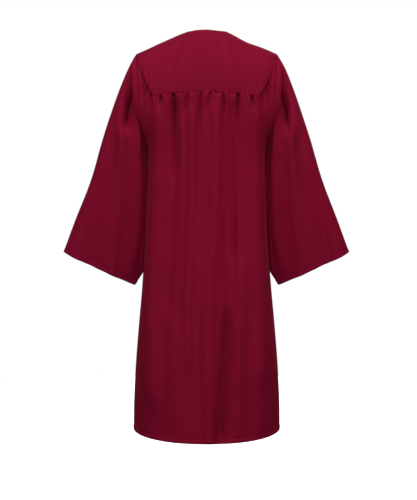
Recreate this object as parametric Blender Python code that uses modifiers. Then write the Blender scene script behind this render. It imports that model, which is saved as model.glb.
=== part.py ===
# Graduation gown, filled out as worn: back yoke, gathered back, two fronts, bell sleeves, front zip.
# Metres, +Z up. The origin is midway between the side neck points. -Y is the back and +Y the front.

import math
from collections import namedtuple

import bmesh
import bpy

COLLECTION_NAME = "graduation_gown"

# Cloth and seams
CLOTH = 0.0012
SEAM_GAP = 0.0003
SHOULDER_GAP = 0.0008
YOKE_EDGE_GAP = 0.0015
UNDERARM_EASE = 0.0004
UNDERARM_EASE_LENGTH = 0.060

# Neck and shoulders
SIDE_NECK_X = 0.059
NAPE_BACK = 0.065
NAPE_DROP = 0.004
SHOULDER_TIP_X = 0.2185
SHOULDER_DROP = 0.069
V_NECK_Z = -0.150

# Armholes: an oval seen from the side, running in towards the underarm
ARMHOLE_DEPTH = 0.280
ARMHOLE_HALF_WIDTH = 0.072
ARMHOLE_X = 0.206
UNDERARM_X = 0.182
UNDERARM_Z = -SHOULDER_DROP - ARMHOLE_DEPTH

# Body: half width and depths at each height; sections are superellipses
HEM_Z = -1.240
SECTION_POWER = 2.15
BodySection = namedtuple("BodySection", "z half_width back front")
BODY_SECTIONS = (
    BodySection(-0.080, 0.2150, 0.103, 0.060),
    BodySection(-0.150, 0.2100, 0.119, 0.090),
    BodySection(-0.205, 0.2060, 0.126, 0.104),
    BodySection(-0.349, 0.1820, 0.130, 0.118),
    BodySection(-0.520, 0.1860, 0.134, 0.123),
    BodySection(-0.645, 0.1910, 0.143, 0.131),
    BodySection(-0.800, 0.2030, 0.156, 0.146),
    BodySection(-0.900, 0.2125, 0.165, 0.155),
    BodySection(-1.030, 0.2235, 0.177, 0.168),
    BodySection(-1.156, 0.2305, 0.189, 0.181),
    BodySection(-1.240, 0.2320, 0.195, 0.188),
)

# Yoke outline on the back: straight seam, then a curved edge up to the armhole
YOKE_SEAM_Z = -0.199
YOKE_SEAM_SAG = 0.006
YOKE_CORNER_X = 0.160
YOKE_EDGE_PULL = (0.1928, -0.150)
YOKE_EDGE_TOP_X = 0.2105
YOKE_ARMHOLE_SHARE = 0.05
YOKE_ROUNDING = 0.70
YOKE_NECK_ROUNDING = 1.00

# Mesh density
HALF_COLUMNS_BACK = 44
CORNER_COLUMN = 32
EDGE_TOP_COLUMN = 42
YOKE_HALF_COLUMNS = 26
YOKE_NECK_COLUMN = 8
YOKE_CORNER_COLUMN = 15
YOKE_EDGE_COLUMN = 25
YOKE_ROWS = 6
YOKE_SMOOTHING_PASSES = 5
GATHER_ROWS = (0.0, 0.035, 0.085, 0.16, 0.26)
UPPER_ROWS = (0.40, 0.55, 0.70, 0.84, 0.95, 1.0)
LOWER_ROWS = (-0.395, -0.455, -0.525, -0.600, -0.680, -0.760, -0.840, -0.925, -1.010, -1.095, -1.170, -1.240)
FRONT_COLUMNS = 16
FRONT_NECK_COLUMN = 7
FRONT_UPPER_ROWS = 12

# Gathers into the yoke: place along the seam from centre (0) to armhole (1), length and depth
Gather = namedtuple("Gather", "across length depth")
GATHERS = (
    Gather(-0.945, 0.030, 0.0022),
    Gather(-0.885, 0.040, 0.0026),
    Gather(-0.825, 0.045, 0.0026),
    Gather(-0.765, 0.050, 0.0030),
    Gather(-0.700, 0.030, 0.0022),
    Gather(-0.620, 0.050, 0.0034),
    Gather(-0.535, 0.028, 0.0022),
    Gather(-0.440, 0.090, 0.0046),
    Gather(-0.315, 0.035, 0.0026),
    Gather(-0.250, 0.028, 0.0022),
    Gather(-0.140, 0.050, 0.0034),
    Gather(-0.060, 0.040, 0.0026),
    Gather(0.050, 0.035, 0.0028),
    Gather(0.132, 0.028, 0.0024),
    Gather(0.225, 0.055, 0.0034),
    Gather(0.310, 0.040, 0.0028),
    Gather(0.445, 0.090, 0.0044),
    Gather(0.525, 0.032, 0.0024),
    Gather(0.595, 0.040, 0.0026),
    Gather(0.680, 0.050, 0.0030),
    Gather(0.745, 0.045, 0.0026),
    Gather(0.805, 0.045, 0.0030),
    Gather(0.865, 0.040, 0.0026),
    Gather(0.930, 0.030, 0.0022),
)
GATHER_HALF_WIDTH = 0.030
GATHER_PUFF = 0.0035
GATHER_PUFF_DROP = 0.016

# Long folds of the back and of the fronts: x at the top, middle and bottom, heights, half width, height
Fold = namedtuple("Fold", "x_top x_middle x_bottom z_top z_bottom half_width height")
BACK_FOLDS = (
    Fold(-0.140, -0.152, -0.166, -0.21, -1.12, 0.020, 0.0055),
    Fold(-0.095, -0.098, -0.133, -0.21, -0.86, 0.020, -0.0095),
    Fold(-0.130, -0.130, -0.127, -0.74, -1.24, 0.034, -0.0070),
    Fold(-0.045, -0.045, -0.060, -0.22, -1.02, 0.017, 0.0060),
    Fold(-0.010, -0.015, -0.020, -0.22, -0.82, 0.016, -0.0040),
    Fold(0.028, 0.024, 0.008, -0.22, -1.24, 0.021, 0.0065),
    Fold(0.054, 0.082, 0.088, -0.22, -0.84, 0.018, -0.0075),
    Fold(0.064, 0.061, 0.052, -0.44, -1.24, 0.020, -0.0095),
    Fold(0.120, 0.106, 0.088, -0.84, -1.24, 0.024, 0.0060),
    Fold(0.137, 0.146, 0.160, -0.24, -0.98, 0.018, 0.0055),
    Fold(0.146, 0.142, 0.136, -0.78, -1.24, 0.030, -0.0050),
)
FRONT_FOLDS = (
    Fold(-0.120, -0.122, -0.138, -0.24, -1.24, 0.022, -0.0085),
    Fold(-0.080, -0.084, -0.096, -0.26, -1.24, 0.020, 0.0060),
    Fold(-0.046, -0.050, -0.054, -0.42, -1.16, 0.018, -0.0055),
    Fold(0.040, 0.046, 0.050, -0.36, -1.24, 0.018, -0.0060),
    Fold(0.074, 0.083, 0.094, -0.24, -1.20, 0.020, 0.0065),
    Fold(0.112, 0.120, 0.132, -0.26, -1.24, 0.022, -0.0095),
)
# The sleeves' folds, with x taken outwards on both sides
SLEEVE_FOLDS = {
    "back": (
        Fold(0.221, 0.223, 0.244, -0.08, -0.74, 0.013, 0.0060),
        Fold(0.243, 0.245, 0.249, -0.07, -0.34, 0.014, -0.0100),
        Fold(0.248, 0.236, 0.248, -0.24, -0.70, 0.015, -0.0060),
        Fold(0.252, 0.279, 0.314, -0.28, -0.90, 0.018, 0.0070),
        Fold(0.278, 0.330, 0.374, -0.32, -0.90, 0.018, -0.0080),
        Fold(0.306, 0.366, 0.428, -0.30, -0.90, 0.020, 0.0045),
    ),
    "front": (
        Fold(0.228, 0.230, 0.250, -0.14, -0.74, 0.015, 0.0045),
        Fold(0.252, 0.248, 0.262, -0.12, -0.72, 0.017, -0.0085),
        Fold(0.270, 0.290, 0.324, -0.26, -0.90, 0.018, 0.0060),
        Fold(0.292, 0.342, 0.386, -0.34, -0.90, 0.018, -0.0070),
    ),
}
# The folds start a little below the armhole, and stay off the outer edge.
SLEEVE_FOLD_START = 0.10
SLEEVE_EDGE_SHARE = 0.12
FOLD_FADE = 0.09
# Where folds and gathers die away towards a panel's sides: start and width, as shares of its half width
BACK_SIDE_FADE = (0.86, 0.12)
GATHER_SIDE_FADE = (0.93, 0.07)
FRONT_CENTRE_FADE = (0.08, 0.12)
FRONT_SIDE_FADE = (0.80, 0.14)

# Sleeves: outer edge of the hanging sleeve, and its sections from armhole to cuff
SleeveEdge = namedtuple("SleeveEdge", "z x")
SLEEVE_OUTER_EDGE = (
    SleeveEdge(-0.069, 0.2185),
    SleeveEdge(-0.105, 0.2390),
    SleeveEdge(-0.147, 0.2580),
    SleeveEdge(-0.209, 0.2820),
    SleeveEdge(-0.332, 0.3240),
    SleeveEdge(-0.457, 0.3620),
    SleeveEdge(-0.582, 0.4110),
    SleeveEdge(-0.681, 0.4480),
)
SleeveSection = namedtuple("SleeveSection", "down inner_x inner_y bulge")
SLEEVE_SECTIONS = (
    SleeveSection(0.00, 0.1820, 0.000, 0.072),
    SleeveSection(0.06, 0.1810, 0.040, 0.073),
    SleeveSection(0.15, 0.1780, 0.056, 0.073),
    SleeveSection(0.40, 0.1760, 0.068, 0.068),
    SleeveSection(0.70, 0.1820, 0.075, 0.060),
    SleeveSection(0.88, 0.1960, 0.066, 0.053),
    SleeveSection(1.00, 0.2270, 0.052, 0.048),
)
SLEEVE_INNER_LENGTH = 0.438
SLEEVE_RINGS = (0.0, 0.04, 0.10, 0.17, 0.25, 0.34, 0.43, 0.52, 0.61, 0.70, 0.79, 0.88, 0.95, 1.0)
SLEEVE_CLEARANCE = 0.005
SLEEVE_TOP_GAP = 0.0007
SLEEVE_UNDERARM_GAP = 0.0016
SLEEVE_PARTING = 0.0011

# Zip at the centre front
ZIP_TOP_Z = -0.1505
ZIP_BOTTOM_Z = -0.950
ZIP_OPEN_HALF = 0.0042
ZIP_CLOSED_HALF = 0.00015
ZIP_CLOSING = 0.030
CHAIN_HALF_WIDTH = 0.0022
CHAIN_THICKNESS = 0.0022
CHAIN_TOP_Z = -0.1584
CHAIN_BOTTOM_RISE = 0.0040
TAPE_INNER_X = 0.0025
TAPE_OUTER_X = 0.0120
TAPE_THICKNESS = 0.0010
ZIP_BEHIND = 0.0016
ZIP_SECTIONS = 22
ZIP_SECTION_SPREAD = 1.6

# Zip slider and pull tab, in the slider's own frame: z up along the chain, y out of the cloth
SLIDER_Z = -0.1600
SLIDER_WIDTH = 0.0070
SLIDER_HEIGHT = 0.0110
SLIDER_PLATE = 0.0011
SLIDER_BRIDGE = 0.0030
SLIDER_BRIDGE_WIDTH = 0.0036
SLIDER_SLOT_CLEARANCE = 0.0005
CROWN_WIDTH = 0.0016
CROWN_INNER_RADIUS = 0.0013
CROWN_OUTER_RADIUS = 0.0023
CROWN_STEPS = 10
CROWN_RISE = 0.0012
PULL_BAR_RADIUS = 0.0005
PULL_LENGTH = 0.030
PULL_WIDTH = 0.0066
PULL_THICKNESS = 0.0010
PULL_NECK_WIDTH = 0.0041
PULL_SHOULDER = 0.0040
PULL_EYE_WIDTH = 0.0030
PULL_EYE_LENGTH = 0.0042

CLOTH_COLOUR = (0.155, 0.006, 0.019, 1.0)
TAPE_COLOUR = (0.120, 0.005, 0.016, 1.0)
METAL_COLOUR = (0.260, 0.020, 0.035, 1.0)


def smooth_value(rows, key, value, x):
    # A smooth curve through a table's column: cubic between rows, slopes from their neighbours.
    points = sorted((getattr(row, key), getattr(row, value)) for row in rows)
    if x <= points[0][0]:
        return points[0][1]
    if x >= points[-1][0]:
        return points[-1][1]
    last = len(points) - 1
    i = max(j for j in range(last) if points[j][0] <= x)
    before, after = max(i - 1, 0), min(i + 2, last)
    span = points[i + 1][0] - points[i][0]
    slope_a = (points[i + 1][1] - points[before][1]) / (points[i + 1][0] - points[before][0])
    slope_b = (points[after][1] - points[i][1]) / (points[after][0] - points[i][0])
    t = (x - points[i][0]) / span
    rise = points[i][1] * (2 * t**3 - 3 * t**2 + 1) + points[i + 1][1] * (3 * t**2 - 2 * t**3)
    return rise + span * (slope_a * (t**3 - 2 * t**2 + t) + slope_b * (t**3 - t**2))


def smooth_step(x):
    x = min(max(x, 0.0), 1.0)
    return x * x * (3 - 2 * x)


def fade_out(turn, fade):
    start, width = fade
    return 1 - smooth_step((turn - start) / width)


def front_fade(turn):
    return (1 - fade_out(turn, FRONT_CENTRE_FADE)) * fade_out(turn, FRONT_SIDE_FADE)


def mix(a, b, share):
    return tuple(p + (q - p) * share for p, q in zip(a, b))


def side_gap(z):
    # Half the gap at the side seam, a little wider where it meets the armhole.
    return SEAM_GAP / 2 + UNDERARM_EASE * (1 - smooth_step((UNDERARM_Z - z) / UNDERARM_EASE_LENGTH))


def back_depth(z):
    return smooth_value(BODY_SECTIONS, "z", "back", z)


def front_depth(z):
    return smooth_value(BODY_SECTIONS, "z", "front", z)


def half_width(z):
    return smooth_value(BODY_SECTIONS, "z", "half_width", z)


def armhole_point(angle):
    # angle 0 is the shoulder tip and pi the underarm; y is taken positive here.
    share = (1 - math.cos(angle)) / 2
    x = ARMHOLE_X + (SHOULDER_TIP_X - ARMHOLE_X) * (1 - share) ** 3 - (ARMHOLE_X - UNDERARM_X) * share**3.5
    return x, ARMHOLE_HALF_WIDTH * math.sin(angle), -SHOULDER_DROP - ARMHOLE_DEPTH * share


def armhole_angle(share):
    return math.acos(1 - 2 * min(max(share, 0.0), 1.0))


def section_point(z, turn, depth):
    # turn 0 is the centre line and 1 the side seam.
    angle = turn * math.pi / 2
    across = math.sin(angle) / half_width(z)
    along = math.cos(angle) / depth
    radius = (across**SECTION_POWER + max(along, 0.0) ** SECTION_POWER) ** (-1 / SECTION_POWER)
    return radius * math.sin(angle), radius * math.cos(angle)


def upper_back_depth(x, z):
    # Depth of the back above the underarm: the section passes through the armhole seam.
    share = (-SHOULDER_DROP - z) / ARMHOLE_DEPTH
    edge_x, edge_y, _ = armhole_point(armhole_angle(share))
    depth = back_depth(z)
    full_width = edge_x / (1 - (edge_y / depth) ** SECTION_POWER) ** (1 / SECTION_POWER)
    inside = max(1 - (abs(x) / full_width) ** SECTION_POWER, 0.0)
    return depth * inside ** (1 / SECTION_POWER)


def yoke_outline(part, share):
    # The yoke's lower boundary on the right half as (x, z): seam, curved edge, then a short cap.
    corner = (YOKE_CORNER_X, YOKE_SEAM_Z - YOKE_SEAM_SAG)
    armhole_x, _, armhole_z = armhole_point(armhole_angle(YOKE_ARMHOLE_SHARE))
    edge_top = (YOKE_EDGE_TOP_X, armhole_z)
    if part == "seam":
        return YOKE_CORNER_X * share, YOKE_SEAM_Z - YOKE_SEAM_SAG * share**2
    if part == "edge":
        return mix(mix(corner, YOKE_EDGE_PULL, share), mix(YOKE_EDGE_PULL, edge_top, share), share)
    return mix(edge_top, (armhole_x, armhole_z), share)


def outline_at(column, corner_column, edge_column, last_column):
    if column <= corner_column:
        return yoke_outline("seam", column / corner_column)
    if column <= edge_column:
        return yoke_outline("edge", (column - corner_column) / (edge_column - corner_column))
    return yoke_outline("cap", (column - edge_column) / (last_column - edge_column))


def shoulder_point(share):
    x = SIDE_NECK_X + (SHOULDER_TIP_X - SIDE_NECK_X) * share
    return x, 0.0, -SHOULDER_DROP * share


def quarter_round(top, bottom, share, rounding):
    # From top to bottom, leaving the top level and reaching the bottom upright.
    turn = share * math.pi / 2
    out = (1 - rounding) * share + rounding * math.sin(turn)
    down = (1 - rounding) * share + rounding * (1 - math.cos(turn))
    x = top[0] + (bottom[0] - top[0]) * share
    y = top[1] + (bottom[1] - top[1]) * out
    z = top[2] + (bottom[2] - top[2]) * down
    return x, y, z


def grid_normals(rows):
    # Unit normals of a grid of points, from the neighbours along the row and across rows.
    normals = []
    for j, row in enumerate(rows):
        above, below = rows[max(j - 1, 0)], rows[min(j + 1, len(rows) - 1)]
        line = []
        for i in range(len(row)):
            left, right = row[max(i - 1, 0)], row[min(i + 1, len(row) - 1)]
            a = [right[k] - left[k] for k in range(3)]
            b = [below[i][k] - above[i][k] for k in range(3)]
            n = (a[1] * b[2] - a[2] * b[1], a[2] * b[0] - a[0] * b[2], a[0] * b[1] - a[1] * b[0])
            size = math.sqrt(sum(k * k for k in n)) or 1.0
            line.append(tuple(k / size for k in n))
        normals.append(line)
    return normals


def raise_grid(rows, heights):
    normals = grid_normals(rows)
    return [
        [tuple(p[k] + n[k] * h for k in range(3)) for p, n, h in zip(row, line, height)]
        for row, line, height in zip(rows, normals, heights)
    ]


def fold_height(folds, x, z):
    total = 0.0
    for fold in folds:
        share = (fold.z_top - z) / (fold.z_top - fold.z_bottom)
        middle = 2 * fold.x_middle - (fold.x_top + fold.x_bottom) / 2
        centre = (1 - share) ** 2 * fold.x_top + 2 * share * (1 - share) * middle + share**2 * fold.x_bottom
        fade = smooth_step((fold.z_top - z) / FOLD_FADE)
        if fold.z_bottom > HEM_Z:
            fade *= smooth_step((z - fold.z_bottom) / FOLD_FADE)
        total += fold.height * fade * math.exp(-(((x - centre) / fold.half_width) ** 2))
    return total


def gather_height(across, below_seam):
    # Troughs under the yoke seam, on a soft puff; nothing at the stitch line itself.
    start = smooth_step(below_seam / 0.006)
    total = GATHER_PUFF * (below_seam / GATHER_PUFF_DROP) * math.exp(1 - below_seam / GATHER_PUFF_DROP)
    for gather in GATHERS:
        reach = math.exp(-((below_seam / gather.length) ** 2))
        near = math.exp(-(((across - gather.across) / GATHER_HALF_WIDTH) ** 2))
        total -= gather.depth * start * reach * near
    return total


def bridge(first, second, first_start, second_start):
    # Faces between two rows of vertices; a row with twice the steps is merged two to one.
    faces = []
    if len(first) == len(second):
        for i in range(len(first) - 1):
            a, b = first_start + i, second_start + i
            faces.append((a, a + 1, b + 1, b))
        return faces
    for i in range(len(second) - 1):
        a, b = first_start + 2 * i, second_start + i
        faces.append((a, a + 1, b))
        faces.append((a + 1, b + 1, b))
        faces.append((a + 1, a + 2, b + 1))
    return faces


def new_material(name, colour, roughness, metallic):
    material = bpy.data.materials.new(name)
    material.use_nodes = True
    shader = material.node_tree.nodes["Principled BSDF"]
    shader.inputs["Base Color"].default_value = colour
    shader.inputs["Roughness"].default_value = roughness
    shader.inputs["Metallic"].default_value = metallic
    return material


def new_object(name, mesh, collection, material):
    thing = bpy.data.objects.new(name, mesh)
    collection.objects.link(thing)
    mesh.materials.append(material)
    return thing


def cloth_piece(name, rows, collection, material):
    # A sheet through rows of points, thickened evenly on both sides.
    vertices = []
    starts = []
    for row in rows:
        starts.append(len(vertices))
        vertices.extend(row)
    faces = []
    for j in range(len(rows) - 1):
        faces.extend(bridge(rows[j], rows[j + 1], starts[j], starts[j + 1]))
    mesh = bpy.data.meshes.new(name)
    mesh.from_pydata(vertices, [], faces)
    mesh.shade_smooth()
    thing = new_object(name, mesh, collection, material)
    wall = thing.modifiers.new("Wall", "SOLIDIFY")
    wall.thickness = CLOTH
    wall.offset = 0.0
    return thing


def mirrored_rows(half_rows):
    # Full rows from right-half rows that start at the centre line.
    return [[(-x, y, z) for x, y, z in reversed(row[1:])] + row for row in half_rows]


def yoke_angles():
    last = armhole_angle(YOKE_ARMHOLE_SHARE)
    return [last * j / YOKE_ROWS for j in range(YOKE_ROWS + 1)]


def back_angles():
    # Armhole places of the back panel's rows, just below the yoke.
    first = YOKE_ARMHOLE_SHARE + YOKE_EDGE_GAP / ARMHOLE_DEPTH
    return [armhole_angle(first + (1 - first) * v) for v in GATHER_ROWS + UPPER_ROWS]


def front_angles():
    return [math.pi * j / FRONT_UPPER_ROWS for j in range(FRONT_UPPER_ROWS + 1)]


def yoke_top(column):
    # Neck curve, then the shoulder line.
    if column <= YOKE_NECK_COLUMN:
        turn = column / YOKE_NECK_COLUMN * math.pi / 2
        drop = NAPE_DROP * math.cos(turn) ** 2
        return SIDE_NECK_X * math.sin(turn), -NAPE_BACK * math.cos(turn) - SHOULDER_GAP / 2, -drop
    share = (column - YOKE_NECK_COLUMN) / (YOKE_HALF_COLUMNS - YOKE_NECK_COLUMN)
    x, y, z = shoulder_point(share)
    return x, y - SHOULDER_GAP / 2, z


def yoke_rounding(column):
    # Roundest where the shoulder meets the neck, so that the neck edge stays level.
    if column < YOKE_NECK_COLUMN:
        nearness = column / YOKE_NECK_COLUMN
    else:
        nearness = (YOKE_HALF_COLUMNS - column) / (YOKE_HALF_COLUMNS - YOKE_NECK_COLUMN)
    return YOKE_ROUNDING + (YOKE_NECK_ROUNDING - YOKE_ROUNDING) * smooth_step(nearness)


def make_yoke(collection, material):
    rows = [[] for _ in range(YOKE_ROWS + 1)]
    for column in range(YOKE_HALF_COLUMNS + 1):
        top = yoke_top(column)
        x, z = outline_at(column, YOKE_CORNER_COLUMN, YOKE_EDGE_COLUMN, YOKE_HALF_COLUMNS)
        bottom = (x, -upper_back_depth(x, z), z)
        for j, angle in enumerate(yoke_angles()):
            share = j / YOKE_ROWS
            point = quarter_round(top, bottom, share, yoke_rounding(column))
            side_x, side_y, side_z = armhole_point(angle)
            side = (side_x, min(-side_y, -SHOULDER_GAP / 2), side_z)
            ends = (SHOULDER_TIP_X, -SHOULDER_GAP / 2, -SHOULDER_DROP), bottom_at_armhole()
            plain = quarter_round(ends[0], ends[1], share, YOKE_ROUNDING)
            weight = (column / YOKE_HALF_COLUMNS) ** 8
            rows[j].append(tuple(p + weight * (s - q) for p, s, q in zip(point, side, plain)))
    return cloth_piece("back_yoke", smoothed_across(mirrored_rows(rows)), collection, material)


def smoothed_across(rows):
    # Takes the crease below the neck's corners out of the rows between the two edges.
    for _ in range(YOKE_SMOOTHING_PASSES):
        for row in rows[1:-1]:
            middles = [mix(mix(a, c, 0.5), b, 0.5) for a, b, c in zip(row, row[1:], row[2:])]
            row[1:-1] = middles
    return rows


def bottom_at_armhole():
    x, z = yoke_outline("cap", 1.0)
    return x, -upper_back_depth(x, z), z


def back_top_edge():
    # The panel's upper boundary on the right half, a seam gap outside the yoke's outline.
    columns = range(HALF_COLUMNS_BACK + 1)
    line = [outline_at(i, CORNER_COLUMN, EDGE_TOP_COLUMN, HALF_COLUMNS_BACK) for i in columns]
    moved = []
    for i, (x, z) in enumerate(line):
        before = line[i - 1] if i else (-line[1][0], line[1][1])
        after = line[i + 1] if i < HALF_COLUMNS_BACK else (2 * x - line[i - 1][0], z)
        dx, dz = after[0] - before[0], after[1] - before[1]
        size = math.hypot(dx, dz)
        gap = SEAM_GAP if i <= CORNER_COLUMN else YOKE_EDGE_GAP
        moved.append((x + gap * dz / size, z - gap * dx / size))
    return moved


def make_back(collection, material):
    top = back_top_edge()
    angles = back_angles()
    levels = GATHER_ROWS + UPPER_ROWS
    rows = []
    heights = []
    for j, level in enumerate(levels):
        step = 1 if level in GATHER_ROWS else 2
        side_x, _, side_z = armhole_point(angles[j])
        plain_side = mix(top[-1], (UNDERARM_X, UNDERARM_Z), level)
        row, height = [], []
        for i in range(-HALF_COLUMNS_BACK, HALF_COLUMNS_BACK + 1, step):
            turn = abs(i) / HALF_COLUMNS_BACK
            sign = -1 if i < 0 else 1
            low_x, _ = section_point(UNDERARM_Z, turn, back_depth(UNDERARM_Z))
            x, z = mix(top[abs(i)], (low_x, UNDERARM_Z), level)
            x += turn**6 * (side_x - plain_side[0])
            z += turn**6 * (side_z - plain_side[1])
            below = math.hypot(top[abs(i)][0] - x, top[abs(i)][1] - z)
            row.append((sign * x, -max(upper_back_depth(x, z), side_gap(z)), z))
            rise = gather_height(sign * turn, below) * fade_out(turn, GATHER_SIDE_FADE)
            height.append(rise + fade_out(turn, BACK_SIDE_FADE) * fold_height(BACK_FOLDS, sign * x, z))
        rows.append(row)
        heights.append(height)
    for z in LOWER_ROWS:
        row, height = [], []
        for i in range(-HALF_COLUMNS_BACK, HALF_COLUMNS_BACK + 1, 2):
            turn = abs(i) / HALF_COLUMNS_BACK
            sign = -1 if i < 0 else 1
            x, y = section_point(z, turn, back_depth(z))
            row.append((sign * x, -max(y, side_gap(z)), z))
            height.append(fade_out(turn, BACK_SIDE_FADE) * fold_height(BACK_FOLDS, sign * x, z))
        rows.append(row)
        heights.append(height)
    # The grid's normals point into the body here, so the heights are turned round.
    outward = [[-h for h in height] for height in heights]
    split = len(GATHER_ROWS)
    dense = raise_grid(rows[:split], outward[:split])
    coarse = raise_grid(rows[split:], outward[split:])
    return cloth_piece("back_panel", dense + coarse, collection, material)


def front_top(column):
    # The V neck from its point up to the side neck, then the shoulder.
    if column <= FRONT_NECK_COLUMN:
        share = column / FRONT_NECK_COLUMN
        x = ZIP_OPEN_HALF + (SIDE_NECK_X - ZIP_OPEN_HALF) * share
        y = front_depth(V_NECK_Z) * (1 - share**2) ** 0.75
        return x, y + SHOULDER_GAP / 2, V_NECK_Z * (1 - share)
    share = (column - FRONT_NECK_COLUMN) / (FRONT_COLUMNS - FRONT_NECK_COLUMN)
    x, y, z = shoulder_point(share)
    return x, y + SHOULDER_GAP / 2, z


def centre_edge_x(z):
    # Half the opening between the fronts: zip width, closing to a plain seam below it.
    return ZIP_OPEN_HALF + (ZIP_CLOSED_HALF - ZIP_OPEN_HALF) * smooth_step((ZIP_BOTTOM_Z - z) / ZIP_CLOSING)


def front_row_point(z, column):
    turn = column / FRONT_COLUMNS
    x, y = section_point(z, turn, front_depth(z))
    x = max(x, centre_edge_x(z) + 0.5 * x)
    return x, max(y, side_gap(z))


def make_front(side, collection, material):
    sign = 1 if side == "right" else -1
    rows = []
    heights = []
    for j, angle in enumerate(front_angles()):
        share = j / FRONT_UPPER_ROWS
        side_x, side_y, side_z = armhole_point(angle)
        armhole = (side_x, max(side_y, mix((SHOULDER_GAP / 2,), (side_gap(side_z),), share)[0]), side_z)
        centre_z = V_NECK_Z + (UNDERARM_Z - V_NECK_Z) * share
        centre = (ZIP_OPEN_HALF, front_depth(centre_z), centre_z)
        row, height = [], []
        for i in range(FRONT_COLUMNS + 1):
            turn = i / FRONT_COLUMNS
            low = front_row_point(UNDERARM_Z, i)
            point = quarter_round(front_top(i), (low[0], low[1], UNDERARM_Z), share, 1.0)
            ends = front_top(FRONT_COLUMNS), front_row_point(UNDERARM_Z, FRONT_COLUMNS) + (UNDERARM_Z,)
            plain_side = quarter_round(ends[0], ends[1], share, 1.0)
            ends = front_top(0), front_row_point(UNDERARM_Z, 0) + (UNDERARM_Z,)
            plain_centre = quarter_round(ends[0], ends[1], share, 1.0)
            near_side, near_centre = turn**4, (1 - turn) ** 4
            x, y, z = (
                p + near_side * (a - q) + near_centre * (c - m)
                for p, a, q, c, m in zip(point, armhole, plain_side, centre, plain_centre)
            )
            row.append((sign * x, y, z))
            height.append(front_fade(turn) * fold_height(FRONT_FOLDS, sign * x, z))
        rows.append(row)
        heights.append(height)
    for z in LOWER_ROWS:
        row, height = [], []
        for i in range(FRONT_COLUMNS + 1):
            turn = i / FRONT_COLUMNS
            x, y = front_row_point(z, i)
            row.append((sign * x, y, z))
            height.append(front_fade(turn) * fold_height(FRONT_FOLDS, sign * x, z))
        rows.append(row)
        heights.append(height)
    # The grid's normals point away from the body on the right side only.
    outward = [[sign * h for h in height] for height in heights]
    return cloth_piece("front_" + side, raise_grid(rows, outward), collection, material)


def sleeve_angles():
    # Round the armhole from the shoulder tip by the back to the underarm and up the front.
    back = [(angle, "back") for angle in yoke_angles()[:-1]]
    lower = back_angles()
    joint = (yoke_angles()[-1] + lower[0]) / 2
    back += [(joint, "back")] + [(angle, "back") for angle in lower[1:]]
    return back + [(angle, "front") for angle in reversed(front_angles()[1:-1])]


def clear_of_body(x, y, z, gap):
    # Moves a point outwards until it stands clear of the body's section at that height.
    if z > UNDERARM_Z:
        return x
    width = half_width(z) + gap
    depth = (back_depth(z) if y < 0 else front_depth(z)) + gap
    inside = max(1 - (abs(y) / depth) ** SECTION_POWER, 0.0)
    return max(x, width * inside ** (1 / SECTION_POWER))


def make_sleeve(side, collection, material, root):
    # Two halves, parted along the outer crease and the underarm seam.
    sign = 1 if side == "right" else -1
    angles = sleeve_angles()
    rows = []
    heights = []
    for down in SLEEVE_RINGS:
        outer_z = -SHOULDER_DROP + (SLEEVE_OUTER_EDGE[-1].z + SHOULDER_DROP) * down
        outer = (smooth_value(SLEEVE_OUTER_EDGE, "z", "x", outer_z), 0.0, outer_z)
        inner_x = smooth_value(SLEEVE_SECTIONS, "down", "inner_x", down)
        inner_y = smooth_value(SLEEVE_SECTIONS, "down", "inner_y", down)
        inner = (inner_x, inner_y, UNDERARM_Z - SLEEVE_INNER_LENGTH * down)
        bulge = smooth_value(SLEEVE_SECTIONS, "down", "bulge", down)
        row, height = [], []
        for angle, face in angles:
            share = (1 - math.cos(angle)) / 2
            x, y, z = mix(outer, inner, share)
            y += bulge * math.sin(angle) * (-1 if face == "back" else 1)
            seam_x = armhole_point(angle)[0]
            straight_x = SHOULDER_TIP_X + (UNDERARM_X - SHOULDER_TIP_X) * share
            seam_gap = SLEEVE_TOP_GAP + (SLEEVE_UNDERARM_GAP - SLEEVE_TOP_GAP) * share**2
            x += (seam_x - straight_x) * (1 - down) ** 3 + seam_gap
            gap = SLEEVE_UNDERARM_GAP + (SLEEVE_CLEARANCE - SLEEVE_UNDERARM_GAP) * smooth_step(down / 0.15)
            x = clear_of_body(x, y, z, gap)
            row.append((sign * x, y, z))
            start = smooth_step(down / SLEEVE_FOLD_START) * smooth_step(share / SLEEVE_EDGE_SHARE)
            height.append(sign * start * fold_height(SLEEVE_FOLDS[face], x, z))
        rows.append(row)
        heights.append(height)
    underarm = [face for _, face in angles].index("front") - 1
    rings = raise_ring_grid(rows, heights)
    halves = {
        "back": ([ring[: underarm + 1] for ring in rings], -1),
        "front": ([ring[underarm:] + ring[:1] for ring in rings], 1),
    }
    for face, (half, away) in halves.items():
        for row in half:
            for end in (0, -1):
                x, y, z = row[end]
                row[end] = (x, y + away * SLEEVE_PARTING / 2, z)
        cloth_piece(f"sleeve_{side}_{face}", half, collection, material).parent = root


def raise_ring_grid(rows, heights):
    wrapped = [[row[-1]] + row + [row[0]] for row in rows]
    wrapped_heights = [[line[-1]] + line + [line[0]] for line in heights]
    return [row[1:-1] for row in raise_grid(wrapped, wrapped_heights)]


def zip_line(z):
    # The centre front line's depth and its tilt from upright at height z.
    step = 0.001
    slope = (front_depth(z - step) - front_depth(z + step)) / (2 * step)
    return front_depth(z), math.atan(slope)


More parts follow.
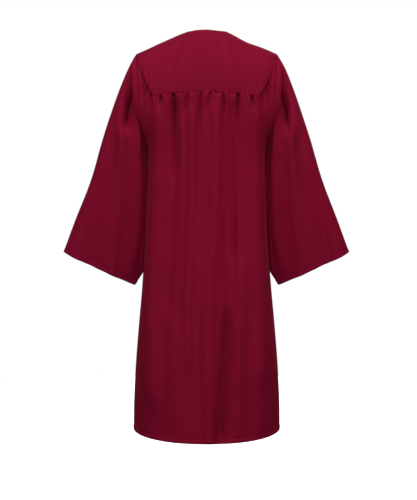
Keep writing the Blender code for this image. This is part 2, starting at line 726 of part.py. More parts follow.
def zip_strip(name, x_inner, x_outer, out_low, out_high, top_z, bottom_z, collection, material):
    # A closed flat bar along the centre front line, between two offsets from it.
    mesh = bpy.data.meshes.new(name)
    vertices, faces = [], []
    for j in range(ZIP_SECTIONS + 1):
        z = top_z + (bottom_z - top_z) * (j / ZIP_SECTIONS) ** ZIP_SECTION_SPREAD
        depth, tilt = zip_line(z)
        corners = ((x_inner, out_low), (x_outer, out_low), (x_outer, out_high), (x_inner, out_high))
        for x, out in corners:
            vertices.append((x, depth + out * math.cos(tilt), z + out * math.sin(tilt)))
    for j in range(ZIP_SECTIONS):
        for k in range(4):
            a, b = 4 * j + k, 4 * j + (k + 1) % 4
            faces.append((a, b, b + 4, a + 4))
    faces.append((3, 2, 1, 0))
    last = 4 * ZIP_SECTIONS
    faces.append((last, last + 1, last + 2, last + 3))
    mesh.from_pydata(vertices, [], faces)
    cage = bmesh.new()
    cage.from_mesh(mesh)
    bmesh.ops.recalc_face_normals(cage, faces=cage.faces)
    cage.to_mesh(mesh)
    cage.free()
    return new_object(name, mesh, collection, material)


def make_zip_strips(collection, tape, metal):
    middle = -ZIP_BEHIND
    low, high = middle - TAPE_THICKNESS / 2, middle + TAPE_THICKNESS / 2
    for side, sign in (("left", -1), ("right", 1)):
        inner, outer = sign * TAPE_INNER_X, sign * TAPE_OUTER_X
        zip_strip("zip_tape_" + side, inner, outer, low, high, ZIP_TOP_Z, ZIP_BOTTOM_Z, collection, tape)
    low, high = middle - CHAIN_THICKNESS / 2, middle + CHAIN_THICKNESS / 2
    width = CHAIN_HALF_WIDTH
    bottom = ZIP_BOTTOM_Z + CHAIN_BOTTOM_RISE
    zip_strip("zip_chain", -width, width, low, high, CHAIN_TOP_Z, bottom, collection, metal)


def prism(name, outline, width, collection, material):
    # An outline in (y, z), drawn across x, centred on the middle plane.
    mesh = bpy.data.meshes.new(name)
    cage = bmesh.new()
    base = [cage.verts.new((-width / 2, y, z)) for y, z in outline]
    face = cage.faces.new(base)
    grown = bmesh.ops.extrude_face_region(cage, geom=[face])
    moved = [item for item in grown["geom"] if isinstance(item, bmesh.types.BMVert)]
    bmesh.ops.translate(cage, verts=moved, vec=(width, 0, 0))
    bmesh.ops.recalc_face_normals(cage, faces=cage.faces)
    cage.to_mesh(mesh)
    cage.free()
    return new_object(name, mesh, collection, material)


def slider_frame():
    depth, tilt = zip_line(SLIDER_Z)
    return (0.0, depth, SLIDER_Z), (tilt, 0.0, 0.0)


def slider_faces():
    # Slot behind the cloth line and the plates on both sides of it, as offsets out of the cloth.
    slot_back = -ZIP_BEHIND - CHAIN_THICKNESS / 2 - SLIDER_SLOT_CLEARANCE
    slot_front = -ZIP_BEHIND + CHAIN_THICKNESS / 2 + SLIDER_SLOT_CLEARANCE
    return slot_back, slot_front, slot_front + SLIDER_PLATE


def pull_axis_offset():
    return slider_faces()[2] + CROWN_RISE


def make_slider(collection, metal, root):
    # Two plates over and under the chain, the narrow bridge that joins them, and the crown.
    slot_back, slot_front, front = slider_faces()
    top, bottom = SLIDER_HEIGHT / 2, -SLIDER_HEIGHT / 2
    over = plate_outline(slot_front, front, bottom, top)
    under = plate_outline(slot_back - SLIDER_PLATE, slot_back, bottom, top)
    sunk = SLIDER_PLATE / 2
    between = plate_outline(slot_back - sunk, slot_front + sunk, top - SLIDER_BRIDGE, top - sunk)
    body = prism("zip_slider", over, SLIDER_WIDTH, collection, metal)
    added = (
        prism("zip_slider_under_shape", under, SLIDER_WIDTH, collection, metal),
        prism("zip_slider_bridge_shape", between, SLIDER_BRIDGE_WIDTH, collection, metal),
        prism("zip_slider_crown_shape", crown_outline(front), CROWN_WIDTH, collection, metal),
    )
    place, turn = slider_frame()
    for shape in added:
        join = body.modifiers.new(shape.name, "BOOLEAN")
        join.operation = "UNION"
        join.object = shape
        settle_cutter(shape)
        shape.location = place
        shape.rotation_euler = turn
    body.location = place
    body.rotation_euler = turn
    body.parent = root
    return body


def plate_outline(back, front, bottom, top):
    return [(back, bottom), (front, bottom), (front, top), (back, top)]


def crown_outline(front):
    # Half a ring standing on the front plate, its centre on the pull tab's axis.
    centre = pull_axis_offset()
    inside = front - SLIDER_PLATE / 2
    outer = [
        (centre + CROWN_OUTER_RADIUS * math.sin(a), CROWN_OUTER_RADIUS * math.cos(a))
        for a in (math.pi * i / CROWN_STEPS for i in range(CROWN_STEPS + 1))
    ]
    inner = [
        (centre + CROWN_INNER_RADIUS * math.sin(a), CROWN_INNER_RADIUS * math.cos(a))
        for a in (math.pi * i / CROWN_STEPS for i in range(CROWN_STEPS, -1, -1))
    ]
    start = [(inside, CROWN_OUTER_RADIUS)]
    middle = [(inside, -CROWN_OUTER_RADIUS), (inside, -CROWN_INNER_RADIUS)]
    end = [(inside, CROWN_INNER_RADIUS)]
    return start + outer + middle + inner + end


def settle_cutter(thing):
    cutters = bpy.data.collections.get(COLLECTION_NAME + "_cutters")
    for owner in list(thing.users_collection):
        owner.objects.unlink(thing)
    cutters.objects.link(thing)
    thing.hide_render = True
    thing.display_type = "WIRE"


def make_pull(collection, metal, root):
    # A flat tab with an eye at its top; the bar over the eye turns inside the crown.
    half, eye = PULL_WIDTH / 2, PULL_EYE_WIDTH / 2
    top, eye_top = PULL_BAR_RADIUS, -PULL_BAR_RADIUS
    eye_low, low = -PULL_BAR_RADIUS - PULL_EYE_LENGTH, -PULL_LENGTH
    curve = bpy.data.curves.new("zip_pull", "CURVE")
    curve.dimensions = "2D"
    curve.fill_mode = "BOTH"
    curve.extrude = PULL_THICKNESS / 2
    neck, shoulder = PULL_NECK_WIDTH / 2, eye_low - PULL_SHOULDER
    outline = [(-neck, top), (neck, top), (neck, eye_low), (half, shoulder), (half, low), (-half, low)]
    outline += [(-half, shoulder), (-neck, eye_low)]
    hole = [(-eye, eye_top), (-eye, eye_low), (eye, eye_low), (eye, eye_top)]
    for points in (outline, hole):
        spline = curve.splines.new("POLY")
        spline.points.add(len(points) - 1)
        for point, (x, y) in zip(spline.points, points):
            point.co = (x, y, 0.0, 1.0)
        spline.use_cyclic_u = True
    flat = bpy.data.objects.new("zip_pull_flat", curve)
    collection.objects.link(flat)
    bpy.context.view_layer.update()
    mesh = bpy.data.meshes.new_from_object(flat.evaluated_get(bpy.context.evaluated_depsgraph_get()))
    bpy.data.objects.remove(flat)
    cage = bmesh.new()
    cage.from_mesh(mesh)
    bmesh.ops.remove_doubles(cage, verts=cage.verts, dist=0.00001)
    # The curve lies in its own xy plane; stand it up so that its length runs down z.
    for vertex in cage.verts:
        x, y, z = vertex.co
        vertex.co = (x, -z, y)
    bmesh.ops.recalc_face_normals(cage, faces=cage.faces)
    cage.to_mesh(mesh)
    cage.free()
    mesh.materials.clear()
    pull = new_object("zip_pull", mesh, collection, metal)
    place, turn = slider_frame()
    out = pull_axis_offset()
    pull.location = (place[0], place[1] + out * math.cos(turn[0]), place[2] + out * math.sin(turn[0]))
    pull.rotation_euler = turn
    pull.parent = root
    return pull


def clear_scene():
    for thing in list(bpy.data.objects):
        bpy.data.objects.remove(thing, do_unlink=True)


def main():
    clear_scene()
    collection = bpy.data.collections.new(COLLECTION_NAME)
    cutters = bpy.data.collections.new(COLLECTION_NAME + "_cutters")
    bpy.context.scene.collection.children.link(collection)
    bpy.context.scene.collection.children.link(cutters)
    root = bpy.data.objects.new("gown_root", None)
    collection.objects.link(root)
    cloth = new_material("gown_cloth", CLOTH_COLOUR, 0.85, 0.0)
    tape = new_material("zip_tape_cloth", TAPE_COLOUR, 0.80, 0.0)
    metal = new_material("zip_coated_metal", METAL_COLOUR, 0.40, 0.3)
    make_yoke(collection, cloth).parent = root
    make_back(collection, cloth).parent = root
    for side in ("left", "right"):
        make_front(side, collection, cloth).parent = root
        make_sleeve(side, collection, cloth, root)
    make_zip_strips(collection, tape, metal)
    make_slider(collection, metal, root)
    make_pull(collection, metal, root)


main()
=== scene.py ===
# Graduation gown: thin cloth, sewing and zip, dressed over the fixed frame
import math

import bmesh
import bpy
import numpy as np
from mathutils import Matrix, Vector


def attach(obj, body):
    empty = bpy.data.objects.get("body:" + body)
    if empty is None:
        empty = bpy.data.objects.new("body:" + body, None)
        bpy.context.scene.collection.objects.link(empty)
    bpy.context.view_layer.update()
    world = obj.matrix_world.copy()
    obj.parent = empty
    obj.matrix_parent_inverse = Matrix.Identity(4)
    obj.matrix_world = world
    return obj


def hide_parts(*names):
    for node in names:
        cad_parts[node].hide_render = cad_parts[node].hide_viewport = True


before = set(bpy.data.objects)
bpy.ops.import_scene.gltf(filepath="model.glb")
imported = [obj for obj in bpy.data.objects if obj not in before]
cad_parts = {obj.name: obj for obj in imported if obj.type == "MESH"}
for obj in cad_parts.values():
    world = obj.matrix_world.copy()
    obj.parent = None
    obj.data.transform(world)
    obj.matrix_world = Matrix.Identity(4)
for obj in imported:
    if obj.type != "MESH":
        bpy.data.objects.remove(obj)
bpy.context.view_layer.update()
print("frame loaded:", sorted(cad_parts))

# The gown's own sizes, in metres, as the frame has them
gown = {
    "sideNeckX": 0.059,
    "napeBack": 0.065,
    "napeDrop": 0.004,
    "napeRise": 0.0063,  # rounds the neck's arch as seen from behind
    "shoulderTipX": 0.2185,
    "shoulderDrop": 0.069,
    "vNeckZ": -0.150,
    "armholeDepth": 0.280,
    "armholeHalfWidth": 0.072,
    "armholeX": 0.206,
    "underarmX": 0.182,
    "hemZ": -1.240,
    "power": 2.15,
    "sideWidth": 0.26,  # half the cloth's width, for what lies beside the side seams
    "sideDip": 0.0014,
    "neckTurn": 7 / 16,  # where the fronts' top edge passes from neck to shoulder
    "zipHalf": 0.0042,
    "zipOpening": (-0.950, 0.030),  # where the fronts meet below the zip
    "shoulderSag": {"depth": 0.0050, "x": 0.122, "width": 0.036, "end": (-0.16, 0.08)},  # the right one lies lower
    "cloth": 0.0009,  # thickness of the thin shells
    "seamGap": 0.00002,
}
underarmZ = -gown["shoulderDrop"] - gown["armholeDepth"]


def rowsOf(columns, rows):
    # a short table as dictionaries, one for each row
    names = columns.split()
    return [dict(zip(names, row)) for row in rows]


bodySections = rowsOf("z half back front", (
    (-0.080, 0.2150, 0.103, 0.060),
    (-0.150, 0.2100, 0.119, 0.090),
    (-0.205, 0.2060, 0.126, 0.104),
    (-0.349, 0.1820, 0.130, 0.118),
    (-0.520, 0.1860, 0.134, 0.123),
    (-0.645, 0.1910, 0.143, 0.131),
    (-0.800, 0.2030, 0.156, 0.146),
    (-0.900, 0.2125, 0.165, 0.155),
    (-1.030, 0.2235, 0.177, 0.168),
    (-1.156, 0.2305, 0.189, 0.181),
    (-1.240, 0.2320, 0.195, 0.188),
))


# Small shapes and curves

def ease(x):
    x = np.clip(x, 0.0, 1.0)
    return x * x * (3 - 2 * x)


def bell(x, width):
    return np.exp(-((x / width) ** 2))


def through(rows, key, value, x):
    # smooth curve through a table's column, read at every x
    rows = sorted(rows, key=lambda row: row[key])
    px = np.array([row[key] for row in rows])
    py = np.array([row[value] for row in rows])
    slope = np.empty(len(px))
    slope[1:-1] = (py[2:] - py[:-2]) / (px[2:] - px[:-2])
    slope[0] = (py[1] - py[0]) / (px[1] - px[0])
    slope[-1] = (py[-1] - py[-2]) / (px[-1] - px[-2])
    x = np.clip(np.asarray(x, float), px[0], px[-1])
    i = np.clip(np.searchsorted(px, x, side="right") - 1, 0, len(px) - 2)
    span = px[i + 1] - px[i]
    t = (x - px[i]) / span
    level = py[i] * (2 * t**3 - 3 * t**2 + 1) + py[i + 1] * (3 * t**2 - 2 * t**3)
    return level + span * (slope[i] * (t**3 - 2 * t**2 + t) + slope[i + 1] * (t**3 - t**2))


def softNoise(x, y, seed):
    # smooth value noise on a unit lattice, the same on every run
    source = np.random.default_rng(seed)
    lattice = source.uniform(-1, 1, (64, 64))
    ix, iy = np.floor(x).astype(int), np.floor(y).astype(int)
    tx, ty = ease(x - ix), ease(y - iy)
    a = lattice[ix % 64, iy % 64] * (1 - tx) + lattice[(ix + 1) % 64, iy % 64] * tx
    b = lattice[ix % 64, (iy + 1) % 64] * (1 - tx) + lattice[(ix + 1) % 64, (iy + 1) % 64] * tx
    return a * (1 - ty) + b * ty


def past(z, mark):
    # from 0 at the mark's height to 1 at its reach further down
    height, reach = mark
    return ease((height - z) / reach)


def puffed(distance, drop):
    # rises from a seam, is fullest at the drop, and dies away
    return (distance / drop) * np.exp(1 - distance / drop)


def halfWidth(z):
    return through(bodySections, "z", "half", z)


def bodyDepth(z, face):
    return through(bodySections, "z", face, z)


def armholePoint(angle):
    # 0 is the shoulder tip and pi the underarm; y comes back positive
    share = (1 - np.cos(angle)) / 2
    x = gown["armholeX"] + (gown["shoulderTipX"] - gown["armholeX"]) * (1 - share) ** 7
    x = x - (gown["armholeX"] - gown["underarmX"]) * share**3.5
    return x, gown["armholeHalfWidth"] * np.sin(angle), -gown["shoulderDrop"] - gown["armholeDepth"] * share


def armholeAngle(share):
    return np.arccos(1 - 2 * np.clip(share, 0.0, 1.0))


def sectionPoint(z, turn, depth, power):
    # turn 0 is the centre line and 1 the side seam
    angle = turn * math.pi / 2
    across = np.sin(angle) / halfWidth(z)
    along = np.maximum(np.cos(angle), 0.0) / depth
    radius = (across**power + along**power) ** (-1 / power)
    return radius * np.sin(angle), radius * np.cos(angle)


def upperBackDepth(x, z):
    share = (-gown["shoulderDrop"] - z) / gown["armholeDepth"]
    edgeX, edgeY, _ = armholePoint(armholeAngle(share))
    depth = bodyDepth(z, "back")
    full = edgeX / (1 - (edgeY / depth) ** gown["power"]) ** (1 / gown["power"])
    inside = np.maximum(1 - (np.abs(x) / full) ** gown["power"], 0.0)
    return depth * inside ** (1 / gown["power"])


def quarterRound(top, bottom, share, rounding):
    turn = share * math.pi / 2
    out = (1 - rounding) * share + rounding * np.sin(turn)
    down = (1 - rounding) * share + rounding * (1 - np.cos(turn))
    return (
        top[0] + (bottom[0] - top[0]) * share,
        top[1] + (bottom[1] - top[1]) * out,
        top[2] + (bottom[2] - top[2]) * down,
    )


# Folds: paths down the cloth given by x at named heights

bodyHeights = {"xYoke": -0.21, "xBlade": -0.40, "xWaist": -0.64, "xKnee": -0.90, "xHem": -1.24}
foldColumns = "xYoke xBlade xWaist xKnee xHem zTop zBottom width height"
backFolds = rowsOf(foldColumns, (
    (-0.146, -0.152, -0.162, -0.170, -0.164, -0.21, -1.17, 0.020, 0.0095),
    (-0.101, -0.097, -0.104, -0.114, -0.124, -0.18, -0.48, 0.015, -0.0120),
    (-0.101, -0.097, -0.107, -0.126, -0.134, -0.19, -0.88, 0.016, -0.0080),
    (-0.120, -0.125, -0.130, -0.129, -0.126, -0.70, -1.27, 0.036, -0.0045),
    (-0.043, -0.043, -0.050, -0.056, -0.060, -0.21, -1.06, 0.014, 0.0095),
    (-0.018, -0.028, -0.022, -0.020, -0.020, -0.21, -0.52, 0.010, -0.0060),
    (0.029, 0.028, 0.020, 0.005, 0.010, -0.20, -1.30, 0.018, 0.0115),
    (0.068, 0.094, 0.098, 0.092, 0.086, -0.20, -0.74, 0.026, -0.0120),
    (0.057, 0.057, 0.057, 0.060, 0.060, -0.52, -0.80, 0.006, -0.0035),
    (0.096, 0.096, 0.096, 0.094, 0.090, -0.52, -0.80, 0.006, -0.0050),
    (0.066, 0.066, 0.063, 0.061, 0.045, -0.70, -1.275, 0.016, -0.0085),
    (0.064, 0.062, 0.060, 0.061, 0.045, -0.82, -1.285, 0.017, -0.0165),
    (0.092, 0.092, 0.092, 0.092, 0.092, -0.86, -1.12, 0.011, 0.0050),
    (0.146, 0.150, 0.160, 0.168, 0.158, -0.21, -1.10, 0.020, 0.0095),
    (0.120, 0.116, 0.108, 0.106, 0.088, -0.84, -1.34, 0.026, 0.0035),
    (0.126, 0.128, 0.132, 0.128, 0.124, -0.80, -1.26, 0.020, -0.0030),
    (-0.020, -0.030, -0.080, -0.092, -0.098, -0.86, -1.30, 0.028, 0.0040),
    (-0.070, -0.070, -0.078, -0.030, -0.024, -0.80, -1.30, 0.030, -0.0035),
))
frontFolds = rowsOf(foldColumns, (
    (-0.118, -0.120, -0.126, -0.134, -0.140, -0.22, -1.34, 0.020, -0.0100),
    (-0.078, -0.080, -0.086, -0.092, -0.098, -0.25, -1.34, 0.018, 0.0075),
    (-0.046, -0.048, -0.052, -0.054, -0.055, -0.40, -1.20, 0.016, -0.0060),
    (-0.150, -0.148, -0.154, -0.160, -0.166, -0.80, -1.34, 0.022, 0.0050),
    (0.040, 0.042, 0.047, 0.050, 0.052, -0.34, -1.34, 0.016, -0.0065),
    (0.073, 0.077, 0.084, 0.090, 0.095, -0.23, -1.24, 0.018, 0.0075),
    (0.112, 0.116, 0.122, 0.130, 0.134, -0.24, -1.34, 0.020, -0.0105),
    (0.146, 0.150, 0.152, 0.160, 0.164, -0.84, -1.34, 0.022, 0.0050),
))
foldShape = {
    "fade": 0.075,
    "waver": 0.0022,
    "waverLength": 0.12,
    "valleyPower": 1.7,
    "ridgePower": 2.1,
    "slack": 0.0017,
    "fineSlack": 0.0005,
}


def foldHeight(folds, heights, x, z):
    total = np.zeros_like(x)
    for fold in folds:
        path = [{"z": heights[name], "x": fold[name]} for name in heights]
        waver = softNoise(z / foldShape["waverLength"], z * 0 + path[0]["x"] * 90, 5)
        centre = through(path, "z", "x", z) + foldShape["waver"] * waver
        fade = past(z, (fold["zTop"], foldShape["fade"])) * ease((z - fold["zBottom"]) / foldShape["fade"])
        wide = fold["width"] * (0.85 + 0.25 * past(z, (fold["zTop"], 0.5)))
        power = foldShape["valleyPower"] if fold["height"] < 0 else foldShape["ridgePower"]
        total += fold["height"] * fade * np.exp(-np.abs((x - centre) / wide) ** power)
    return total


def slackHeight(x, z, seed):
    # shallow unevenness of hanging cloth, long down the cloth and narrow across it
    broad = softNoise(x / 0.045 + 11, z / 0.34 + 7, seed)
    narrow = softNoise(x / 0.019 + 3, z / 0.20 + 5, seed + 1)
    return foldShape["slack"] * broad + foldShape["fineSlack"] * narrow


# The yoke's lower boundary, shared by yoke and back: seam, curved edge, then a short cap

yokeCut = {
    "seamZ": -0.1925,
    "seamSag": 0.0125,
    "corner": (0.160, -0.205),
    "edgePull": (0.1928, -0.150),
    "edgeTopX": 0.2105,
    "armholeShare": 0.05,
    "rounding": 0.90,
    "neckRounding": 1.00,
    "yokeMarks": (8 / 26, 15 / 26, 25 / 26),  # neck, corner and edge top on the yoke's half width
    "backMarks": (32 / 44, 42 / 44),  # corner and edge top on the back's half width
    "gap": 0.0004,
    "curveFrom": (0.155, 0.012),  # x where the straight seam gives way to the curved edge
    "length": 0.13,
}


# Gathers: those along the straight seam start at an x, those on the curved edge at a share of it

seamGathers = rowsOf("x lean length depth width", (
    (-0.1530, 0.00, 0.016, 0.0032, 0.0035), (-0.1390, 0.00, 0.030, 0.0120, 0.0050),
    (-0.1170, 0.00, 0.016, 0.0042, 0.0035), (-0.1065, 0.00, 0.013, 0.0032, 0.0030),
    (-0.1000, 0.05, 0.095, 0.0105, 0.0054), (-0.0840, -0.05, 0.014, 0.0026, 0.0030),
    (-0.0696, 0.00, 0.017, 0.0040, 0.0034), (-0.0540, -0.30, 0.070, 0.0070, 0.0050),
    (-0.0414, 0.00, 0.013, 0.0032, 0.0030), (-0.0306, 0.00, 0.020, 0.0032, 0.0032),
    (-0.0135, -0.20, 0.080, 0.0066, 0.0042), (0.0010, 0.05, 0.012, 0.0026, 0.0030),
    (0.0114, -0.22, 0.052, 0.0068, 0.0044), (0.0285, 0.00, 0.015, 0.0044, 0.0032),
    (0.0390, 0.00, 0.013, 0.0034, 0.0030), (0.0500, 0.06, 0.080, 0.0072, 0.0042),
    (0.0675, 0.00, 0.018, 0.0042, 0.0034), (0.0810, 0.00, 0.013, 0.0028, 0.0030),
    (0.0960, -0.03, 0.085, 0.0105, 0.0052), (0.1146, 0.00, 0.019, 0.0042, 0.0034),
    (0.1355, 0.22, 0.031, 0.0118, 0.0050), (0.1560, 0.20, 0.034, 0.0060, 0.0038),
))
edgeGathers = rowsOf("side share lean length depth width", (
    (-1, 0.11, 0.22, 0.034, 0.0098, 0.0044), (-1, 0.31, 0.42, 0.038, 0.0104, 0.0044),
    (-1, 0.46, 0.40, 0.034, 0.0090, 0.0038), (-1, 0.66, 0.06, 0.028, 0.0076, 0.0034),
    (-1, 0.82, 0.05, 0.020, 0.0050, 0.0030), (-1, 0.21, 0.35, 0.020, 0.0046, 0.0030),
    (1, 0.12, 0.20, 0.038, 0.0100, 0.0044), (1, 0.30, 0.40, 0.042, 0.0106, 0.0044),
    (1, 0.44, 0.38, 0.036, 0.0092, 0.0038), (1, 0.63, 0.08, 0.028, 0.0078, 0.0034),
    (1, 0.80, 0.05, 0.022, 0.0052, 0.0030), (1, 0.20, 0.30, 0.022, 0.0048, 0.0030),
))
gatherShape = {
    "puff": 0.0044,
    "puffDrop": 0.011,
    "edgePuffLess": 0.75,
    "sharpness": 1.35,
    "spread": 0.35,
    "leanReach": 0.045,
    "depth": 1.9,
}


def onCurve(x):
    start, reach = yokeCut["curveFrom"]
    return ease((np.abs(x) - start) / reach)


def yokeEdge(share):
    # a point of the curved edge, from the corner (0) up to the shoulder (1)
    top = yokeCut["edgeTopX"], float(armholePoint(armholeAngle(yokeCut["armholeShare"]))[2])
    return [a * (1 - share) ** 2 + 2 * b * share * (1 - share) + c * share**2
            for a, b, c in zip(yokeCut["corner"], yokeCut["edgePull"], top)]


def gatherHeight(x, z, below):
    # troughs that start at the yoke and widen downwards, on a soft puff
    start = ease(below / 0.005)
    onSeam = 1 - gatherShape["edgePuffLess"] * onCurve(x)
    total = gatherShape["puff"] * onSeam * puffed(below, gatherShape["puffDrop"])
    lines = []
    for gather in seamGathers:
        sag = yokeCut["seamSag"] * (gather["x"] / yokeCut["corner"][0]) ** 2
        lines.append((gather["x"], yokeCut["seamZ"] - sag, gather["lean"], gather))
    for gather in edgeGathers:
        edgeX, edgeZ = yokeEdge(gather["share"])
        lines.append((gather["side"] * edgeX, edgeZ, gather["side"] * gather["lean"], gather))
    for startX, startZ, lean, gather in lines:
        down = startZ - z
        reach = gatherShape["leanReach"]
        path = startX + lean * reach * np.tanh(np.maximum(down, 0) / reach)
        wide = gather["width"] * (1 + gatherShape["spread"] * ease(down / 0.05))
        near = np.exp(-(np.abs(x - path) / wide) ** gatherShape["sharpness"])
        along = start * ease((down + 0.005) / 0.008) * bell(down, gather["length"])
        total -= gatherShape["depth"] * gather["depth"] * along * near
    return total


# Sheets from grids of points

def gridNormals(points, ring=False):
    if ring:
        wide = np.concatenate((points[:, -1:], points, points[:, :1]), axis=1)
        along = (np.gradient(wide, axis=1))[:, 1:-1]
    else:
        along = np.gradient(points, axis=1)
    down = np.gradient(points, axis=0)
    normal = np.cross(along, down)
    size = np.linalg.norm(normal, axis=2, keepdims=True)
    return normal / np.maximum(size, 1e-12)


def insetLine(points, distance):
    # the line at this distance from the sheet's first row
    run = np.linalg.norm(np.diff(points, axis=0), axis=2)
    reach = np.concatenate((np.zeros((1, points.shape[1])), np.cumsum(run, axis=0)), axis=0)
    return np.array([[np.interp(distance, reach[:, k], points[:, k, axis]) for axis in range(3)]
                     for k in range(points.shape[1])])


def flatMap(points):
    # UV in metres: distance along the rows and down the columns
    across = np.cumsum(np.linalg.norm(np.diff(points, axis=1), axis=2), axis=1)
    across = np.concatenate((np.zeros((len(points), 1)), across), axis=1)
    across = across - across[:, across.shape[1] // 2][:, None]
    down = np.cumsum(np.linalg.norm(np.diff(points, axis=0), axis=2), axis=0)
    down = np.concatenate((np.zeros((1, points.shape[1])), down), axis=0)
    return np.stack((across, -down), axis=2)


def placedPiece(name, mesh, material):
    # a smooth mesh with its material, put into the scene
    mesh.shade_smooth()
    if not mesh.materials:
        mesh.materials.append(material)
    piece = bpy.data.objects.new(name, mesh)
    bpy.context.scene.collection.objects.link(piece)
    return piece


def gridQuads(grid):
    # the four corners of each face of a grid
    return np.stack((grid[:-1, :-1], grid[:-1, 1:], grid[1:, 1:], grid[1:, :-1]), axis=2)


def sheetMesh(name, points, material, ring=False):
    # one thin sheet; a ring is closed round
    flat = flatMap(points)
    rows, columns = points.shape[:2]
    vertices = points.reshape(-1, 3)
    index = np.arange(rows * columns).reshape(rows, columns)
    if ring:
        index = np.concatenate((index, index[:, :1]), axis=1)
    mesh = bpy.data.meshes.new(name)
    mesh.from_pydata(vertices.tolist(), [], gridQuads(index).reshape(-1, 4).tolist())
    if ring:
        step = np.linalg.norm(points[:, 0] - points[:, -1], axis=1)
        closing = flat[:, -1:] + np.stack((step, step * 0), axis=1)[:, None]
        flat = np.concatenate((flat, closing), axis=1)
    layer = mesh.uv_layers.new(name="cloth")
    layer.data.foreach_set("uv", gridQuads(flat).reshape(-1, 2).astype(np.float32).ravel())
    piece = placedPiece(name, mesh, material)
    wall = piece.modifiers.new("thickness", "SOLIDIFY")
    wall.thickness = gown["cloth"]
    wall.offset = 0.0
    return piece


# Finishes

def newMaterial(name):
    material = bpy.data.materials.new(name)
    material.use_nodes = True
    tree = material.node_tree

    def make(kind, **values):
        node = tree.nodes.new(kind)
        for key, value in values.items():
            if key in node.inputs:
                node.inputs[key].default_value = value
            else:
                setattr(node, key, value)
        return node
    return material, tree, make, tree.nodes["Principled BSDF"]


clothLook = {
    "colour": (0.213, 0.0036, 0.0243, 1.0),
    "shade": (0.189, 0.0031, 0.0213, 1.0),
    "roughness": 0.78,
    "threads": 1900.0,  # cycles a metre of the fine plain weave
    "weaveDepth": 0.10,
    "weaveHeight": 0.0002,
    "weaveShade": 0.12,
    "slubs": 240.0,
    "clouds": 9.0,
    "sheen": 0.10,
    "sheenRoughness": 0.40,
    "sheenTint": (1.0, 0.10, 0.20, 1.0),
    "gloss": 0.04,
}


def clothMaterial(name, look, weave="uv"):
    material, tree, make, shader = newMaterial(name)
    shader.inputs["Roughness"].default_value = look["roughness"]
    shader.inputs["Sheen Weight"].default_value = look["sheen"]
    shader.inputs["Sheen Roughness"].default_value = look["sheenRoughness"]
    shader.inputs["Sheen Tint"].default_value = look["sheenTint"]
    shader.inputs["Specular IOR Level"].default_value = look["gloss"]
    place = make("ShaderNodeTexCoord")
    source = place.outputs["UV"] if weave == "uv" else place.outputs["Object"]
    # plain weave: warp and weft threads pass over each other in a chequer
    split = make("ShaderNodeSeparateXYZ")
    tree.links.new(source, split.inputs[0])
    waves = []
    for axis in ("X", "Y" if weave == "uv" else "Z"):
        scaled = make("ShaderNodeMath", operation="MULTIPLY")
        scaled.inputs[1].default_value = look["threads"] * math.pi
        tree.links.new(split.outputs[axis], scaled.inputs[0])
        wave = make("ShaderNodeMath", operation="SINE")
        tree.links.new(scaled.outputs[0], wave.inputs[0])
        waves.append(wave)
    both = make("ShaderNodeMath", operation="MULTIPLY")
    tree.links.new(waves[0].outputs[0], both.inputs[0])
    tree.links.new(waves[1].outputs[0], both.inputs[1])
    # slubs and a soft unevenness of the dye
    slub = make("ShaderNodeTexNoise", Scale=look["slubs"], Detail=3.0)
    cloud = make("ShaderNodeTexNoise", Scale=look["clouds"], Detail=4.0)
    tree.links.new(place.outputs["Object"], slub.inputs["Vector"])
    tree.links.new(place.outputs["Object"], cloud.inputs["Vector"])
    height = make("ShaderNodeMath", operation="ADD")
    tree.links.new(both.outputs[0], height.inputs[0])
    tree.links.new(slub.outputs["Fac"], height.inputs[1])
    bump = make("ShaderNodeBump", Strength=look["weaveDepth"], Distance=look["weaveHeight"])
    tree.links.new(height.outputs[0], bump.inputs["Height"])
    tree.links.new(bump.outputs["Normal"], shader.inputs["Normal"])
    blend = make("ShaderNodeMath", operation="MULTIPLY_ADD")
    blend.inputs[1].default_value = look["weaveShade"]
    tree.links.new(both.outputs[0], blend.inputs[0])
    tree.links.new(cloud.outputs["Fac"], blend.inputs[2])
    colour = make("ShaderNodeMix", data_type="RGBA")
    colour.inputs[6].default_value = look["colour"]
    colour.inputs[7].default_value = look["shade"]
    tree.links.new(blend.outputs[0], colour.inputs[0])
    tree.links.new(colour.outputs[2], shader.inputs["Base Color"])
    return material


gownCloth = clothMaterial("gownCloth", clothLook)
tapeLook = dict(clothLook, colour=(0.120, 0.0040, 0.0150, 1.0), shade=(0.100, 0.0034, 0.0125, 1.0),
                threads=1100.0)
threadLook = dict(clothLook, colour=(0.125, 0.0042, 0.0160, 1.0), shade=(0.105, 0.0036, 0.0135, 1.0),
                  roughness=0.55)
tapeCloth = clothMaterial("zipTapeCloth", tapeLook, weave="object")
threadCloth = clothMaterial("sewingThread", threadLook, weave="object")


coating = {"grain": 900.0, "smoother": 0.07, "rougher": 0.10, "darker": 0.8}


def coatedMetal(name, colour, roughness, metallic):
    material, tree, make, shader = newMaterial(name)
    shader.inputs["Metallic"].default_value = metallic
    place = make("ShaderNodeTexCoord")
    fine = make("ShaderNodeTexNoise", Scale=coating["grain"], Detail=3.0)
    tree.links.new(place.outputs["Object"], fine.inputs["Vector"])
    rough = make("ShaderNodeMapRange")
    rough.inputs["To Min"].default_value = roughness - coating["smoother"]
    rough.inputs["To Max"].default_value = roughness + coating["rougher"]
    tree.links.new(fine.outputs["Fac"], rough.inputs["Value"])
    tree.links.new(rough.outputs["Result"], shader.inputs["Roughness"])
    tone = make("ShaderNodeMix", data_type="RGBA")
    tone.inputs[6].default_value = colour
    tone.inputs[7].default_value = tuple(c * coating["darker"] for c in colour[:3]) + (1.0,)
    tree.links.new(fine.outputs["Fac"], tone.inputs[0])
    tree.links.new(tone.outputs[2], shader.inputs["Base Color"])
    return material


zipMetal = coatedMetal("zipMetal", (0.20, 0.016, 0.030, 1.0), 0.38, 0.4)
zipCoil = coatedMetal("zipCoil", (0.135, 0.006, 0.019, 1.0), 0.45, 0.0)
print("finishes made")


# The yoke

